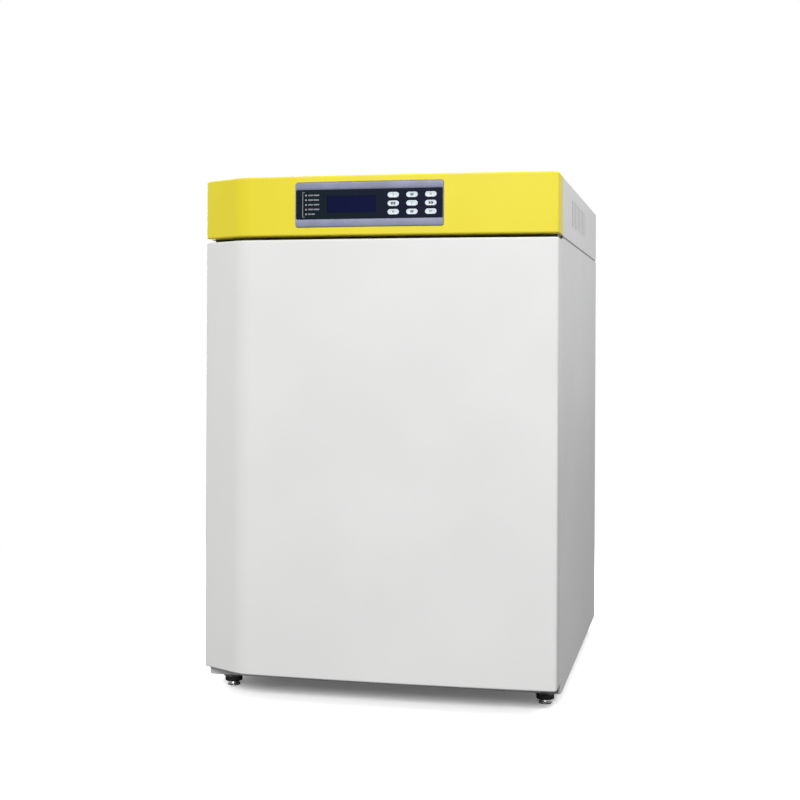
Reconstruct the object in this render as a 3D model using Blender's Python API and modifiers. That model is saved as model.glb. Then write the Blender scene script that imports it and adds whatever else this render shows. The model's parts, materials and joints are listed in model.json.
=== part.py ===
"""Carbon dioxide incubator: a bench-high cabinet with a solid outer door and an inner glass door.

Units are metres. +Z is up, the door faces -Y, and the origin is on the floor under the
centre of the whole cabinet. Each piece is one object, named as a service sheet would name it.
"""
import math

import bmesh
import bpy
from mathutils import Matrix, Vector

# Overall size
WIDTH = 0.604
DEPTH = 0.768
HEIGHT = 0.870

# Heights of the stacked parts
BASE_HEIGHT = 0.025
DOOR_LIFT = 0.019
HEAD_HEIGHT = 0.098
DOOR_HEAD_GAP = 0.006

# Sheet metal and fits
SHEET = 0.0015
FOLD_RADIUS = 0.002
COVER_FOLD_RADIUS = 0.003
EASE = 0.001
SEAM = 0.0003
FRAME_DEPTH = 0.012
RETURN_WIDTH = 0.018
BACK_PAN_DEPTH = 0.012
PAN_RIM = 0.022
DECK_RIM = 0.022
HINGE_PLATE = 0.003
COVER_GAP = HINGE_PLATE + EASE

# Front moulding shared by the door and the control head
BEZEL_PROUD = 0.001
DOOR_THICKNESS = 0.065
GASKET_GAP = 0.009
FRONT_BOW = 0.008
GRIP_WIDTH = 0.095
GRIP_ANGLE = math.radians(30)
GRIP_BLEND_RADIUS = 0.070
GRIP_EDGE_RADIUS = 0.006
FRONT_CORNER_RADIUS = 0.005
FRONT_EDGE_RADIUS = 0.003

# Rear
REAR_FITTINGS = 0.018

# Chamber
SIDE_WALL = 0.072
REAR_WALL = 0.125
CEILING_WALL = 0.083
CHAMBER_FLOOR = 0.095
CHAMBER_CORNER = 0.020
CHAMBER_FLANGE = 0.022
HEATER_THICKNESS = 0.001
HEATER_MARGIN = 0.015

# Doors
DOOR_RECESS = 0.026
DOOR_RECESS_SIDE_MARGIN = 0.040
DOOR_RECESS_MARGIN = 0.024
DOOR_RECESS_CORNER = 0.012
DOOR_GASKET_WIDTH = 0.012
DOOR_GASKET_SIDE = 0.009
DOOR_GASKET_END = 0.004
HINGE_INSET = 0.014
HINGE_SETOUT = 0.032
BRACKET_INWARD = 0.018
BRACKET_OUTWARD = 0.010
BRACKET_FORWARD = 0.012
PIN_RADIUS = 0.004
PIN_LENGTH = 0.015
PIN_CLEARANCE = 0.0003
BUSH_WALL = 0.0027
BUSH_COLLAR = 0.003
BUSH_SPARE = 0.002
GLASS_THICKNESS = 0.006
GLASS_OVERLAP = 0.0165
GLASS_CORNER = 0.008
GLASS_GASKET = 0.0047
GLASS_GASKET_WIDTH = 0.011
GLASS_GASKET_SETBACK = 0.002
GLASS_PIN_RADIUS = 0.0025
GLASS_PIN_LENGTH = 0.008
HINGE_STRIP = 0.0025
HINGE_STRIP_SETOUT = 0.0045
HINGE_STRIP_WIDTH = 0.0095
HINGE_LUG_REACH = 0.005
RAIL_THICKNESS = 0.006
RAIL_WIDTH = 0.016
RAIL_MARGIN = 0.0025
RAIL_OVERHANG = 0.002
RAIL_HOOK_SETBACK = 0.006
KNOB_RADIUS = 0.013
KNOB_HEIGHT = 0.020
KNOB_INSET = 0.0245
KNOB_SKIRT = 0.005
SPINDLE_RADIUS = 0.004
SPINDLE_NUT_RADIUS = 0.007
SPINDLE_NUT_HEIGHT = 0.0025
TONGUE_WIDTH = 0.008
TONGUE_THICKNESS = 0.003
TONGUE_REACH = 0.007
KEEPER_REACH = 0.008
KEEPER_WIDTH = 0.0045
KEEPER_HEIGHT = 0.020
KEEPER_THICKNESS = 0.003
KEEPER_CLEARANCE = 0.0009
KEEPER_LIP_REACH = 0.0063
HIDDEN_STEP = 0.0001

# Shelves
SHELF_NAMES = ("lower_shelf", "middle_shelf", "upper_shelf")
LOWEST_SHELF_HEIGHT = 0.150
HIGHEST_SHELF_DROP = 0.160
SHELF_FRONT_MARGIN = 0.047
SHELF_REAR_MARGIN = 0.033
RUNNER_GAP = 0.008
RUNNER_REACH = 0.012
SHELF_LIP = 0.008
SHELF_CLEARANCE = 0.0007
RACK_OVERHANG = 0.012
RACK_TIE = 0.008
RACK_TIE_SETBACK = 0.0005
RACK_LIFT = 0.003
RACK_DROP = 0.005
SHELF_CORNER = 0.004
SHELF_SIDE_MARGIN = 0.008
SHELF_END_MARGIN = 0.015
SLOT_LENGTH = 0.060
SLOT_WIDTH = 0.014
SLOT_COLUMNS = 5
SLOT_ROWS = 8
WATER_PAN_SIDE_MARGIN = 0.050
WATER_PAN_REAR_MARGIN = 0.083
WATER_PAN_HEIGHT = 0.045
WATER_PAN_CORNER = 0.006

# Control panel
PANEL_X = -0.006
PANEL_WIDTH = 0.248
PANEL_HEIGHT = 0.074
PANEL_DROP = 0.0475
PANEL_DEPTH = 0.012
PANEL_CORNER = 0.004
WINDOW_SIDE_RIM = 0.003
WINDOW_END_RIM = 0.013
WINDOW_THICKNESS = 0.003
WINDOW_CORNER = 0.002
KEY_WIDTH = 0.019
KEY_HEIGHT = 0.009
KEY_PITCH_X = 0.031
KEY_PITCH_Z = 0.0138
KEY_MARGIN = 0.049
KEY_LENGTH = 0.0075
KEY_TRAVEL = 0.001
KEY_STAND = 0.0012
KEY_ROUNDING = 0.0007
DISPLAY_WIDTH = 0.081
DISPLAY_HEIGHT = 0.0265
DISPLAY_SHIFT = -0.029
DISPLAY_CORNER = 0.001
DISPLAY_SINK = 0.0004
LAMP_COUNT = 5
LAMP_MARGIN = 0.015
LAMP_PITCH = 0.0077
LAMP_RADIUS = 0.0015
BOARD_THICKNESS = 0.0016

# Levelling feet
FOOT_INSET = 0.030
FOOT_SETBACK = 0.039
PAD_RADIUS = 0.011
PAD_HEIGHT = 0.007
COLLAR_RADIUS = 0.015
COLLAR_HEIGHT = 0.009
STUD_RADIUS = 0.005
STUD_SHORTFALL = 0.003
BOSS_WALL = 0.002

# Access port through the rear wall
PORT_INSET = 0.080
PORT_HEIGHT = 0.105
PORT_RADIUS = 0.022
PORT_BORE = 0.0175
PORT_FLANGE = 0.004
PORT_FLANGE_WIDTH = 0.007
STOPPER_LENGTH = 0.070
STOPPER_TAPER = 0.0015
STOPPER_HEAD = 0.006
STOPPER_KNOB_RADIUS = 0.012

# Sensors, gas supply and rear fittings of the head
SENSOR_INSET = 0.090
SENSOR_SETBACK = 0.189
SENSOR_RADIUS = 0.0125
SENSOR_REACH = 0.040
SENSOR_FILTER = 0.012
SENSOR_HEAD_RADIUS = 0.016
SENSOR_HEAD_HEIGHT = 0.030
PROBE_RADIUS = 0.003
PROBE_REACH = 0.060
PROBE_HEAD_RADIUS = 0.006
PROBE_HEAD_HEIGHT = 0.012
NOZZLE_INSET = 0.050
NOZZLE_FORWARD = 0.050
NOZZLE_REACH = 0.015
VALVE_SIZE = (0.036, 0.045, 0.026)
COIL_RADIUS = 0.014
COIL_HEIGHT = 0.058
TUBE_RADIUS = 0.003
TUBE_LIFT = 0.012
TUBE_BEND = 0.014
TUBE_TURN = 0.110
FITTING_INSET = 0.087
FITTING_LIFT = 0.050
FITTING_RADIUS = 0.006
FITTING_LENGTH = 0.018
BARB_RADIUS = 0.0042
BARB_ROOT = 0.0032
BARB_PITCH = 0.0042
SPIGOT_RADIUS = 0.004
SPIGOT_LENGTH = 0.008
NUT_RADIUS = 0.009
NUT_HEIGHT = 0.005
INLET_INSET = 0.102
INLET_LIFT = 0.050
INLET_WIDTH = 0.070
INLET_HEIGHT = 0.026
INLET_DEPTH = 0.026
INLET_FLANGE = 0.0025
INLET_FLANGE_WIDTH = 0.004
SOCKET_OFFSET = 0.016
SOCKET_WIDTH = 0.024
SOCKET_HEIGHT = 0.017
SOCKET_DEPTH = 0.016
SOCKET_BLADES = ((-0.007, -0.0022), (0.0, 0.0026), (0.007, -0.0022))
BLADE_SINK = 0.003
BLADE_SIZE = (0.002, 0.004)
SWITCH_OFFSET = -0.020
SWITCH_WELL_DEPTH = 0.010
SWITCH_WELL_MARGIN = 0.002
ROCKER_WIDTH = 0.0124
ROCKER_HEIGHT = 0.017
ROCKER_DEPTH = 0.005
ROCKER_PROUD = 0.0045
ROCKER_DIP = 0.0015
ROCKER_TILT = math.radians(8)
ROCKER_SINK = 0.003
VENT_COUNT = 10
VENT_SETBACK = 0.159
VENT_PITCH = 0.028
VENT_HEIGHT = 0.050
VENT_WIDTH = 0.007
VENT_DROP = 0.047

# Fan and duct
FAN_FORWARD = 0.131
SHAFT_RADIUS = 0.004
MOTOR_RADIUS = 0.030
MOTOR_HEIGHT = 0.062
MOTOR_FLANGE_RADIUS = 0.038
MOTOR_FLANGE = 0.004
WHEEL_DROP = 0.008
WHEEL_HEIGHT = 0.022
WHEEL_RADIUS = 0.060
WHEEL_PLATE = 0.002
HUB_TOP_RADIUS = 0.014
HUB_FOOT_RADIUS = 0.018
WHEEL_BLADES = 12
BLADE_START = 0.030
BLADE_END = 0.057
BLADE_THICKNESS = 0.0016
BLADE_SWEEP = math.radians(25)
DUCT_DEPTH = 0.038
DUCT_SIDE_MARGIN = 0.030
DUCT_FORWARD = 0.261
DUCT_CORNER = 0.004
DUCT_INLET_RADIUS = 0.036
OUTLET_COUNT = 5
OUTLET_PITCH = 0.034
OUTLET_LENGTH = 0.026
OUTLET_WIDTH = 0.012

# Electronics on the deck; a component's place is the x, y of its near left corner on the board
BOARD_INSET = 0.062
BOARD_SETBACK = 0.039
BOARD_SIZE = (0.180, 0.110)
BOARD_COMPONENTS = {
    "heat sink": ((0.010, 0.050), (0.060, 0.050, 0.030)),
    "relay": ((0.012, 0.010), (0.030, 0.028, 0.018)),
    "connector": ((0.055, 0.008), (0.055, 0.022, 0.012)),
    "processor": ((0.090, 0.045), (0.060, 0.050, 0.006)),
}
SUPPLY_INSET = 0.072
SUPPLY_FORWARD = 0.066
SUPPLY_SIZE = (0.130, 0.120, 0.045)

# Derived planes
LEFT = -WIDTH / 2
RIGHT = WIDTH / 2
FRONT_CREST = -DEPTH / 2 + BEZEL_PROUD
DOOR_BACK = FRONT_CREST + DOOR_THICKNESS
BODY_FRONT = DOOR_BACK + GASKET_GAP
BODY_BACK = DEPTH / 2 - REAR_FITTINGS
HEAD_BOTTOM = HEIGHT - HEAD_HEIGHT
DOOR_TOP = HEAD_BOTTOM - DOOR_HEAD_GAP
DOOR_BOTTOM = BASE_HEIGHT + DOOR_LIFT
BODY_TOP = HEAD_BOTTOM - COVER_GAP
PANEL_Z = HEIGHT - PANEL_DROP
WINDOW_WIDTH = PANEL_WIDTH - 2 * WINDOW_SIDE_RIM
WINDOW_HEIGHT = PANEL_HEIGHT - 2 * WINDOW_END_RIM
KEY_CENTRE_X = PANEL_X + WINDOW_WIDTH / 2 - KEY_MARGIN
DISPLAY_X = PANEL_X + DISPLAY_SHIFT
LAMP_X = PANEL_X - WINDOW_WIDTH / 2 + LAMP_MARGIN
FRAME_BACK = BODY_FRONT + FRAME_DEPTH
INNER_FRONT = FRAME_BACK + SHEET + 2 * SEAM
CHAMBER_TOP = BODY_TOP - CEILING_WALL
CHAMBER_BACK = BODY_BACK - REAR_WALL
CHAMBER_SIDE = WIDTH / 2 - SIDE_WALL
SHELF_FRONT = BODY_FRONT + SHELF_FRONT_MARGIN
SHELF_BACK = CHAMBER_BACK - SHELF_REAR_MARGIN
LOWEST_SHELF = CHAMBER_FLOOR + LOWEST_SHELF_HEIGHT
HIGHEST_SHELF = CHAMBER_TOP - HIGHEST_SHELF_DROP
DECK_TOP = BODY_TOP
DECK_FLOOR = DECK_TOP + SEAM
HINGE_X = RIGHT - HINGE_INSET
HINGE_Y = BODY_FRONT - HINGE_SETOUT
BUSH_FLANGE = BODY_TOP - DOOR_TOP - SEAM

# Places of the fittings, as x, z on the rear and as x, y in the ceiling
PORT_PLACE = (PORT_INSET - CHAMBER_SIDE, CHAMBER_FLOOR + PORT_HEIGHT)
FAN_PLACE = (0.0, CHAMBER_BACK - FAN_FORWARD)
SENSOR_PLACE = (CHAMBER_SIDE - SENSOR_INSET, BODY_FRONT + SENSOR_SETBACK)
PROBE_PLACE = (SENSOR_INSET - CHAMBER_SIDE, BODY_FRONT + SENSOR_SETBACK)
GAS_INLET_PLACE = (CHAMBER_SIDE - NOZZLE_INSET, FAN_PLACE[1] - NOZZLE_FORWARD)
FITTING_PLACE = (LEFT + FITTING_INSET, HEAD_BOTTOM + FITTING_LIFT)
INLET_PLACE = (RIGHT - INLET_INSET, HEAD_BOTTOM + INLET_LIFT)

# Meshing
WELD = 0.00001
CORNER_STEPS = 4

FINISHES = {
    "white paint": ((0.80, 0.81, 0.80), 0.42, 0.0),
    "grey paint": ((0.56, 0.57, 0.58), 0.45, 0.0),
    "yellow paint": ((0.87, 0.72, 0.05), 0.35, 0.0),
    "silver plastic": ((0.32, 0.36, 0.50), 0.35, 0.3),
    "black acrylic": ((0.010, 0.018, 0.030), 0.12, 0.0),
    "display glass": ((0.008, 0.012, 0.070), 0.15, 0.0),
    "pale key": ((0.72, 0.80, 0.88), 0.40, 0.0),
    "stainless steel": ((0.60, 0.60, 0.58), 0.30, 1.0),
    "zinc steel": ((0.50, 0.50, 0.52), 0.40, 1.0),
    "glass": ((0.75, 0.85, 0.82), 0.05, 0.0),
    "black rubber": ((0.03, 0.03, 0.03), 0.70, 0.0),
    "white silicone": ((0.75, 0.75, 0.72), 0.60, 0.0),
    "black plastic": ((0.02, 0.02, 0.02), 0.45, 0.0),
    "brass": ((0.65, 0.45, 0.16), 0.30, 1.0),
    "mineral wool": ((0.70, 0.62, 0.35), 0.95, 0.0),
    "circuit board": ((0.02, 0.20, 0.07), 0.50, 0.0),
    "heater foil": ((0.55, 0.30, 0.05), 0.40, 0.6),
}


def clear_scene():
    """Empty the file and make the collections for the parts and for their cutters."""
    for old in list(bpy.data.objects):
        bpy.data.objects.remove(old)
    collections = {}
    for name in ("carbon_dioxide_incubator", "cutters"):
        collections[name] = bpy.data.collections.new(name)
        bpy.context.scene.collection.children.link(collections[name])
    return collections["carbon_dioxide_incubator"], collections["cutters"]


PARTS, CUTTERS = clear_scene()


def finished(name, finish):
    """A material of its own for one piece."""
    colour, roughness, metallic = FINISHES[finish]
    material = bpy.data.materials.new(name)
    material.use_nodes = True
    shader = material.node_tree.nodes["Principled BSDF"]
    shader.inputs["Base Color"].default_value = (*colour, 1.0)
    shader.inputs["Roughness"].default_value = roughness
    shader.inputs["Metallic"].default_value = metallic
    return material


def piece(name, mesh, finish, origin=(0.0, 0.0, 0.0), smooth=False):
    """Place a mesh as a named piece whose own origin lies on the given point."""
    mesh.name = name
    mesh.transform(Matrix.Translation(-Vector(origin)))
    mesh.materials.clear()
    mesh.materials.append(finished(name, finish))
    if smooth:
        mesh.shade_smooth()
        mesh.set_sharp_from_angle(angle=math.radians(35))
    part = bpy.data.objects.new(name, mesh)
    part.location = origin
    PARTS.objects.link(part)
    return part


def settled(holder):
    """The evaluated mesh of a helper object, which is then removed."""
    if holder.name not in bpy.context.scene.collection.objects:
        bpy.context.scene.collection.objects.link(holder)
    graph = bpy.context.evaluated_depsgraph_get()
    mesh = bpy.data.meshes.new_from_object(holder.evaluated_get(graph))
    bpy.data.objects.remove(holder)
    return mesh


def from_bmesh(bm, name="form"):
    """Turn a bmesh into a mesh and free it."""
    mesh = bpy.data.meshes.new(name)
    bm.to_mesh(mesh)
    bm.free()
    return mesh


def joined(*meshes):
    """Several closed bodies as one mesh."""
    bm = bmesh.new()
    for mesh in meshes:
        bm.from_mesh(mesh)
    return from_bmesh(bm)


def block(low, high, bevel=0.0, segments=2):
    """A box between two corners, with all edges rounded if a bevel is given."""
    bm = bmesh.new()
    bmesh.ops.create_cube(bm, size=1.0)
    size = [b - a for a, b in zip(low, high)]
    centre = [(a + b) / 2 for a, b in zip(low, high)]
    bmesh.ops.scale(bm, vec=size, verts=bm.verts)
    bmesh.ops.translate(bm, vec=centre, verts=bm.verts)
    if bevel:
        bmesh.ops.bevel(bm, geom=bm.edges[:], offset=bevel, segments=segments,
                        profile=0.5, affect="EDGES")
    return from_bmesh(bm)


def turn_to(axis):
    """The rotation that stands a shape drawn about +Z along another axis."""
    if axis == "Z":
        return Matrix.Identity(4)
    if axis == "Y":
        return Matrix.Rotation(math.pi / 2, 4, "X")
    return Matrix(((0, 0, 1, 0), (1, 0, 0, 0), (0, 1, 0, 0), (0, 0, 0, 1)))


def rod(radius, low, high, centre, axis="Z", sides=20):
    """A cylinder between two heights along an axis.

    centre holds the other two coordinates: x, y for Z, x, z for Y, and y, z for X.
    """
    bm = bmesh.new()
    bmesh.ops.create_cone(bm, cap_ends=True, segments=sides, radius1=radius, radius2=radius,
                          depth=high - low)
    middle = (high + low) / 2
    if axis == "Y":
        matrix = Matrix.Translation((centre[0], middle, centre[1])) @ turn_to("Y")
    elif axis == "X":
        matrix = Matrix.Translation((middle, centre[0], centre[1])) @ turn_to("X")
    else:
        matrix = Matrix.Translation((centre[0], centre[1], middle))
    bmesh.ops.transform(bm, matrix=matrix, verts=bm.verts)
    return from_bmesh(bm)


def prism(loops, low, high, axis="Z", flat_caps=False):
    """Extrude a flat outline, the first loop, with holes, the other loops, along an axis.

    Outlines are drawn in x, y for Z, in x, z for Y and in y, z for X.
    """
    curve = bpy.data.curves.new("outline", "CURVE")
    curve.dimensions = "2D"
    curve.fill_mode = "BOTH"
    curve.extrude = (high - low) / 2
    for loop in loops:
        spline = curve.splines.new("POLY")
        spline.points.add(len(loop) - 1)
        for point, (u, v) in zip(spline.points, loop):
            point.co = (u, v, 0.0, 1.0)
        spline.use_cyclic_u = True
    mesh = settled(bpy.data.objects.new("outline", curve))
    bm = bmesh.new()
    bm.from_mesh(mesh)
    bmesh.ops.remove_doubles(bm, verts=bm.verts, dist=WELD)
    if flat_caps:
        bmesh.ops.dissolve_limit(bm, angle_limit=math.radians(0.1), verts=bm.verts, edges=bm.edges)
    bmesh.ops.recalc_face_normals(bm, faces=bm.faces)
    middle = (high + low) / 2
    local = Matrix.Translation((0, 0, -middle if axis == "Y" else middle))
    bmesh.ops.transform(bm, matrix=turn_to(axis) @ local, verts=bm.verts)
    return from_bmesh(bm)


def arc(centre, radius, start, end, steps):
    """Points along an arc, both ends included; angles in radians."""
    return [(centre[0] + radius * math.cos(start + (end - start) * i / steps),
             centre[1] + radius * math.sin(start + (end - start) * i / steps))
            for i in range(steps + 1)]


def rounded_rectangle(low, high, radius, steps=3):
    """A rectangle between two corners with rounded corners, anticlockwise."""
    quarter = math.pi / 2
    centres = ((high[0] - radius, high[1] - radius), (low[0] + radius, high[1] - radius),
               (low[0] + radius, low[1] + radius), (high[0] - radius, low[1] + radius))
    points = []
    for index, centre in enumerate(centres):
        points += arc(centre, radius, index * quarter, (index + 1) * quarter, steps)
    return points


def capsule(centre, width, height, steps=3):
    """A slot outline with round ends, long along its first axis."""
    radius = height / 2
    reach = width / 2 - radius
    right = arc((centre[0] + reach, centre[1]), radius, -math.pi / 2, math.pi / 2, steps)
    left = arc((centre[0] - reach, centre[1]), radius, math.pi / 2, 3 * math.pi / 2, steps)
    return right + left


def circle(centre, radius, sides=12):
    """A round outline."""
    return arc(centre, radius, 0.0, 2 * math.pi * (sides - 1) / sides, sides - 1)


def turned(profile, steps=20, closed=False):
    """Turn a profile of radius, height points about Z; an open one starts and ends on the axis."""
    mesh = bpy.data.meshes.new("profile")
    count = len(profile)
    edges = [(i, i + 1) for i in range(count - 1)]
    if closed:
        edges.append((count - 1, 0))
    mesh.from_pydata([(r, 0.0, z) for r, z in profile], edges, [])
    holder = bpy.data.objects.new("turned", mesh)
    screw = holder.modifiers.new("Screw", "SCREW")
    screw.steps = steps
    screw.render_steps = steps
    screw.use_merge_vertices = True
    screw.merge_threshold = WELD
    result = settled(holder)
    bm = bmesh.new()
    bm.from_mesh(result)
    bmesh.ops.remove_doubles(bm, verts=bm.verts, dist=WELD)
    bmesh.ops.recalc_face_normals(bm, faces=bm.faces)
    return from_bmesh(bm)


def stood(mesh, place, axis="Z"):
    """Stand a turned shape, drawn about +Z, along an axis at a place."""
    turn = Matrix.Rotation(-math.pi / 2, 4, "X") if axis == "Y" else Matrix.Identity(4)
    mesh.transform(Matrix.Translation(Vector(place)) @ turn)
    return mesh


def tube(points, radius):
    """A filled tube along a run of points."""
    curve = bpy.data.curves.new("tube", "CURVE")
    curve.dimensions = "3D"
    curve.bevel_depth = radius
    curve.bevel_resolution = 1
    curve.use_fill_caps = True
    spline = curve.splines.new("POLY")
    spline.points.add(len(points) - 1)
    for point, place in zip(spline.points, points):
        point.co = (*place, 1.0)
    mesh = settled(bpy.data.objects.new("tube", curve))
    bm = bmesh.new()
    bm.from_mesh(mesh)
    bmesh.ops.remove_doubles(bm, verts=bm.verts, dist=WELD)
    bmesh.ops.recalc_face_normals(bm, faces=bm.faces)
    return from_bmesh(bm)


def bent_run(corners, radius, steps=3):
    """A run of points through straight stretches, each corner rounded by a bend."""
    points = [Vector(corners[0])]
    for before, corner, after in zip(corners, corners[1:], corners[2:]):
        corner = Vector(corner)
        into = (Vector(before) - corner).normalized() * radius
        out = (Vector(after) - corner).normalized() * radius
        for i in range(steps + 1):
            t = i / steps
            points.append(corner + into * (1 - t) ** 2 + out * t ** 2)
    points.append(Vector(corners[-1]))
    return points


def skinned(bm, thickness, outward):
    """Give an open surface its sheet thickness, outward or inward of its faces."""
    holder = bpy.data.objects.new("skin", from_bmesh(bm))
    solidify = holder.modifiers.new("Solidify", "SOLIDIFY")
    solidify.thickness = thickness
    solidify.offset = 1.0 if outward else -1.0
    solidify.use_even_offset = True
    return settled(holder)


def cut(part, *tools):
    """Cut closed tool meshes from a piece with a live Boolean."""
    for number, tool in enumerate(tools, 1):
        cutter = bpy.data.objects.new(f"{part.name}_cutter_{number}", tool)
        cutter.hide_render = True
        cutter.display_type = "WIRE"
        CUTTERS.objects.link(cutter)
        boolean = part.modifiers.new(f"Cut {number}", "BOOLEAN")
        boolean.operation = "DIFFERENCE"
        boolean.solver = "EXACT"
        boolean.object = cutter
    return part


def combined(operation, base, meshes):
    """The mesh that a row of Booleans of one kind leaves of a closed base mesh."""
    holder = bpy.data.objects.new("combined", base)
    helpers = []
    for number, mesh in enumerate(meshes, 1):
        helper = bpy.data.objects.new(f"helper_{number}", mesh)
        bpy.context.scene.collection.objects.link(helper)
        helpers.append(helper)
        boolean = holder.modifiers.new(f"Boolean {number}", "BOOLEAN")
        boolean.operation = operation
        boolean.solver = "EXACT"
        boolean.object = helper
    result = settled(holder)
    for helper in helpers:
        bpy.data.objects.remove(helper)
    return result


def fused(base, *additions):
    """One closed mesh made of overlapping closed meshes."""
    return combined("UNION", base, additions)


def carved(base, *tools):
    """A closed mesh less the closed tool meshes, for a base that is added to afterwards."""
    return combined("DIFFERENCE", base, tools)


def front_plan(back):
    """The plan outline of the door and the head: bowed front, square right side, grip at left."""
    def bow(x):
        return FRONT_CREST + FRONT_BOW * (x / RIGHT) ** 2

    corner_x = RIGHT - FRONT_CORNER_RADIUS
    corner = arc((corner_x, bow(corner_x) + FRONT_CORNER_RADIUS), FRONT_CORNER_RADIUS,
                 0.0, -math.pi / 2, 3)
    blend_x = LEFT + GRIP_WIDTH
    bow_steps = 8
    front = [(x, bow(x)) for x in
             (corner_x + (blend_x - corner_x) * i / bow_steps for i in range(1, bow_steps))]
    blend = arc((blend_x, bow(blend_x) + GRIP_BLEND_RADIUS), GRIP_BLEND_RADIUS,
                -math.pi / 2, -math.pi / 2 - GRIP_ANGLE, 4)
    slope = math.tan(GRIP_ANGLE)
    edge_x = LEFT + GRIP_EDGE_RADIUS
    facet = blend[-1]
    edge_turn = GRIP_EDGE_RADIUS * math.sin(GRIP_ANGLE)
    end_x = edge_x - edge_turn
    end_y = facet[1] + (facet[0] - end_x) * slope
    edge_centre = (edge_x, end_y + GRIP_EDGE_RADIUS * math.cos(GRIP_ANGLE))
    edge = arc(edge_centre, GRIP_EDGE_RADIUS, -math.pi / 2 - GRIP_ANGLE, -math.pi, 3)
    return [(RIGHT, back)] + corner + front + blend + edge + [(LEFT, back)]


def front_shell(bottom, top, back):
    """A sheet shell over the front plan: bowed face, flat top and bottom, open at the back."""
    mesh = prism([front_plan(back)], bottom, top, flat_caps=True)
    bm = bmesh.new()
    bm.from_mesh(mesh)

    def at_back(vertex):
        return abs(vertex.co.y - back) < WELD

    def along_rim(edge):
        one, other = (vertex.co.z for vertex in edge.verts)
        level = abs(one - other) < WELD
        return level and (abs(one - top) < WELD or abs(one - bottom) < WELD)

    rims = [edge for edge in bm.edges if along_rim(edge) and not all(map(at_back, edge.verts))]
    bmesh.ops.bevel(bm, geom=rims, offset=FRONT_EDGE_RADIUS, segments=2, profile=0.5,
                    affect="EDGES")
    open_faces = [face for face in bm.faces if all(map(at_back, face.verts))]
    bmesh.ops.delete(bm, geom=open_faces, context="FACES")
    return skinned(bm, SHEET, outward=False)


def open_box(low, high, open_sides, radius=0.0):
    """A sheet box with some sides left open, its folded edges rounded; the wall goes inward."""
    bm = bmesh.new()
    bmesh.ops.create_cube(bm, size=1.0)
    bmesh.ops.scale(bm, vec=[b - a for a, b in zip(low, high)], verts=bm.verts)
    bmesh.ops.translate(bm, vec=[(a + b) / 2 for a, b in zip(low, high)], verts=bm.verts)
    gone = [face for face in bm.faces for side in open_sides
            if (face.normal - Vector(side)).length < WELD]
    bmesh.ops.delete(bm, geom=gone, context="FACES")
    if radius:
        folds = [edge for edge in bm.edges if len(edge.link_faces) == 2]
        bmesh.ops.bevel(bm, geom=folds, offset=radius, segments=2, profile=0.5, affect="EDGES")
    return skinned(bm, SHEET, outward=False)


def tin(low, high, mouth, corner, flange_side, flange_end, square=False):
    """A deep-drawn tin with rounded corners, open at the plane y=mouth, with a flange round it.

    The flange reaches out by its own width at the sides and at the ends. Its outer corners are
    rounded, or square and eased for the rounded corners of the shell that it closes. Walls and
    flange take their thickness on the outside of the hollow.
    """
    bm = bmesh.new()
    bmesh.ops.create_cube(bm, size=1.0)
    bmesh.ops.scale(bm, vec=[b - a for a, b in zip(low, high)], verts=bm.verts)
    bmesh.ops.translate(bm, vec=[(a + b) / 2 for a, b in zip(low, high)], verts=bm.verts)

    def at_mouth(vertex):
        return abs(vertex.co.y - mouth) < WELD

    folds = [edge for edge in bm.edges if not all(map(at_mouth, edge.verts))]
    bmesh.ops.bevel(bm, geom=folds, offset=corner, segments=CORNER_STEPS, profile=0.5,
                    affect="EDGES")
    open_faces = [face for face in bm.faces if all(map(at_mouth, face.verts))]
    bmesh.ops.delete(bm, geom=open_faces, context="FACES")
    rim = [edge for edge in bm.edges if len(edge.link_faces) == 1]
    grown = bmesh.ops.extrude_edge_only(bm, edges=rim)["geom"]
    for vertex in (item for item in grown if isinstance(item, bmesh.types.BMVert)):
        nearest_x = min(max(vertex.co.x, low[0] + corner), high[0] - corner)
        nearest_z = min(max(vertex.co.z, low[2] + corner), high[2] - corner)
        outward = Vector((vertex.co.x - nearest_x, 0.0, vertex.co.z - nearest_z)).normalized()
        if square:
            outward.x = math.copysign(1.0, outward.x) if abs(outward.x) > 0.7 else 0.0
            outward.z = math.copysign(1.0, outward.z) if abs(outward.z) > 0.7 else 0.0
            edge_x = high[0] + flange_side if outward.x > 0 else low[0] - flange_side
            edge_z = high[2] + flange_end if outward.z > 0 else low[2] - flange_end
            inset = FRONT_EDGE_RADIUS / 3 if outward.x and outward.z else 0.0
            vertex.co.x = edge_x - outward.x * inset if outward.x else vertex.co.x
            vertex.co.z = edge_z - outward.z * inset if outward.z else vertex.co.z
        else:
            vertex.co += Vector((outward.x * flange_side, 0.0, outward.z * flange_end))
    return skinned(bm, SHEET, outward=True)


def base_pan():
    """The floor tray of the cabinet with a boss over each levelling foot."""
    low = (LEFT + SHEET + SEAM, INNER_FRONT, BASE_HEIGHT)
    high = (RIGHT - SHEET - SEAM, BODY_BACK - BACK_PAN_DEPTH - SEAM, BASE_HEIGHT + PAN_RIM)
    mesh = open_box(low, high, [(0, 0, 1)])
    boss_bottom = PAD_HEIGHT + COLLAR_HEIGHT + SEAM
    bosses = [rod(COLLAR_RADIUS + BOSS_WALL, boss_bottom, BASE_HEIGHT + SHEET / 2, place)
              for place in foot_places().values()]
    holes = [rod(STUD_RADIUS + SEAM, 0.0, BASE_HEIGHT + PAN_RIM, place, sides=16)
             for place in foot_places().values()]
    cut(piece("base_pan", fused(mesh, *bosses), "zinc steel"), joined(*holes))


def foot_places():
    """The x, y of the four levelling feet."""
    x = RIGHT - FOOT_INSET
    front = BODY_FRONT + FOOT_SETBACK
    rear = BODY_BACK - FOOT_SETBACK
    return {"foot_front_left": (-x, front), "foot_front_right": (x, front),
            "foot_rear_left": (-x, rear), "foot_rear_right": (x, rear)}


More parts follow.
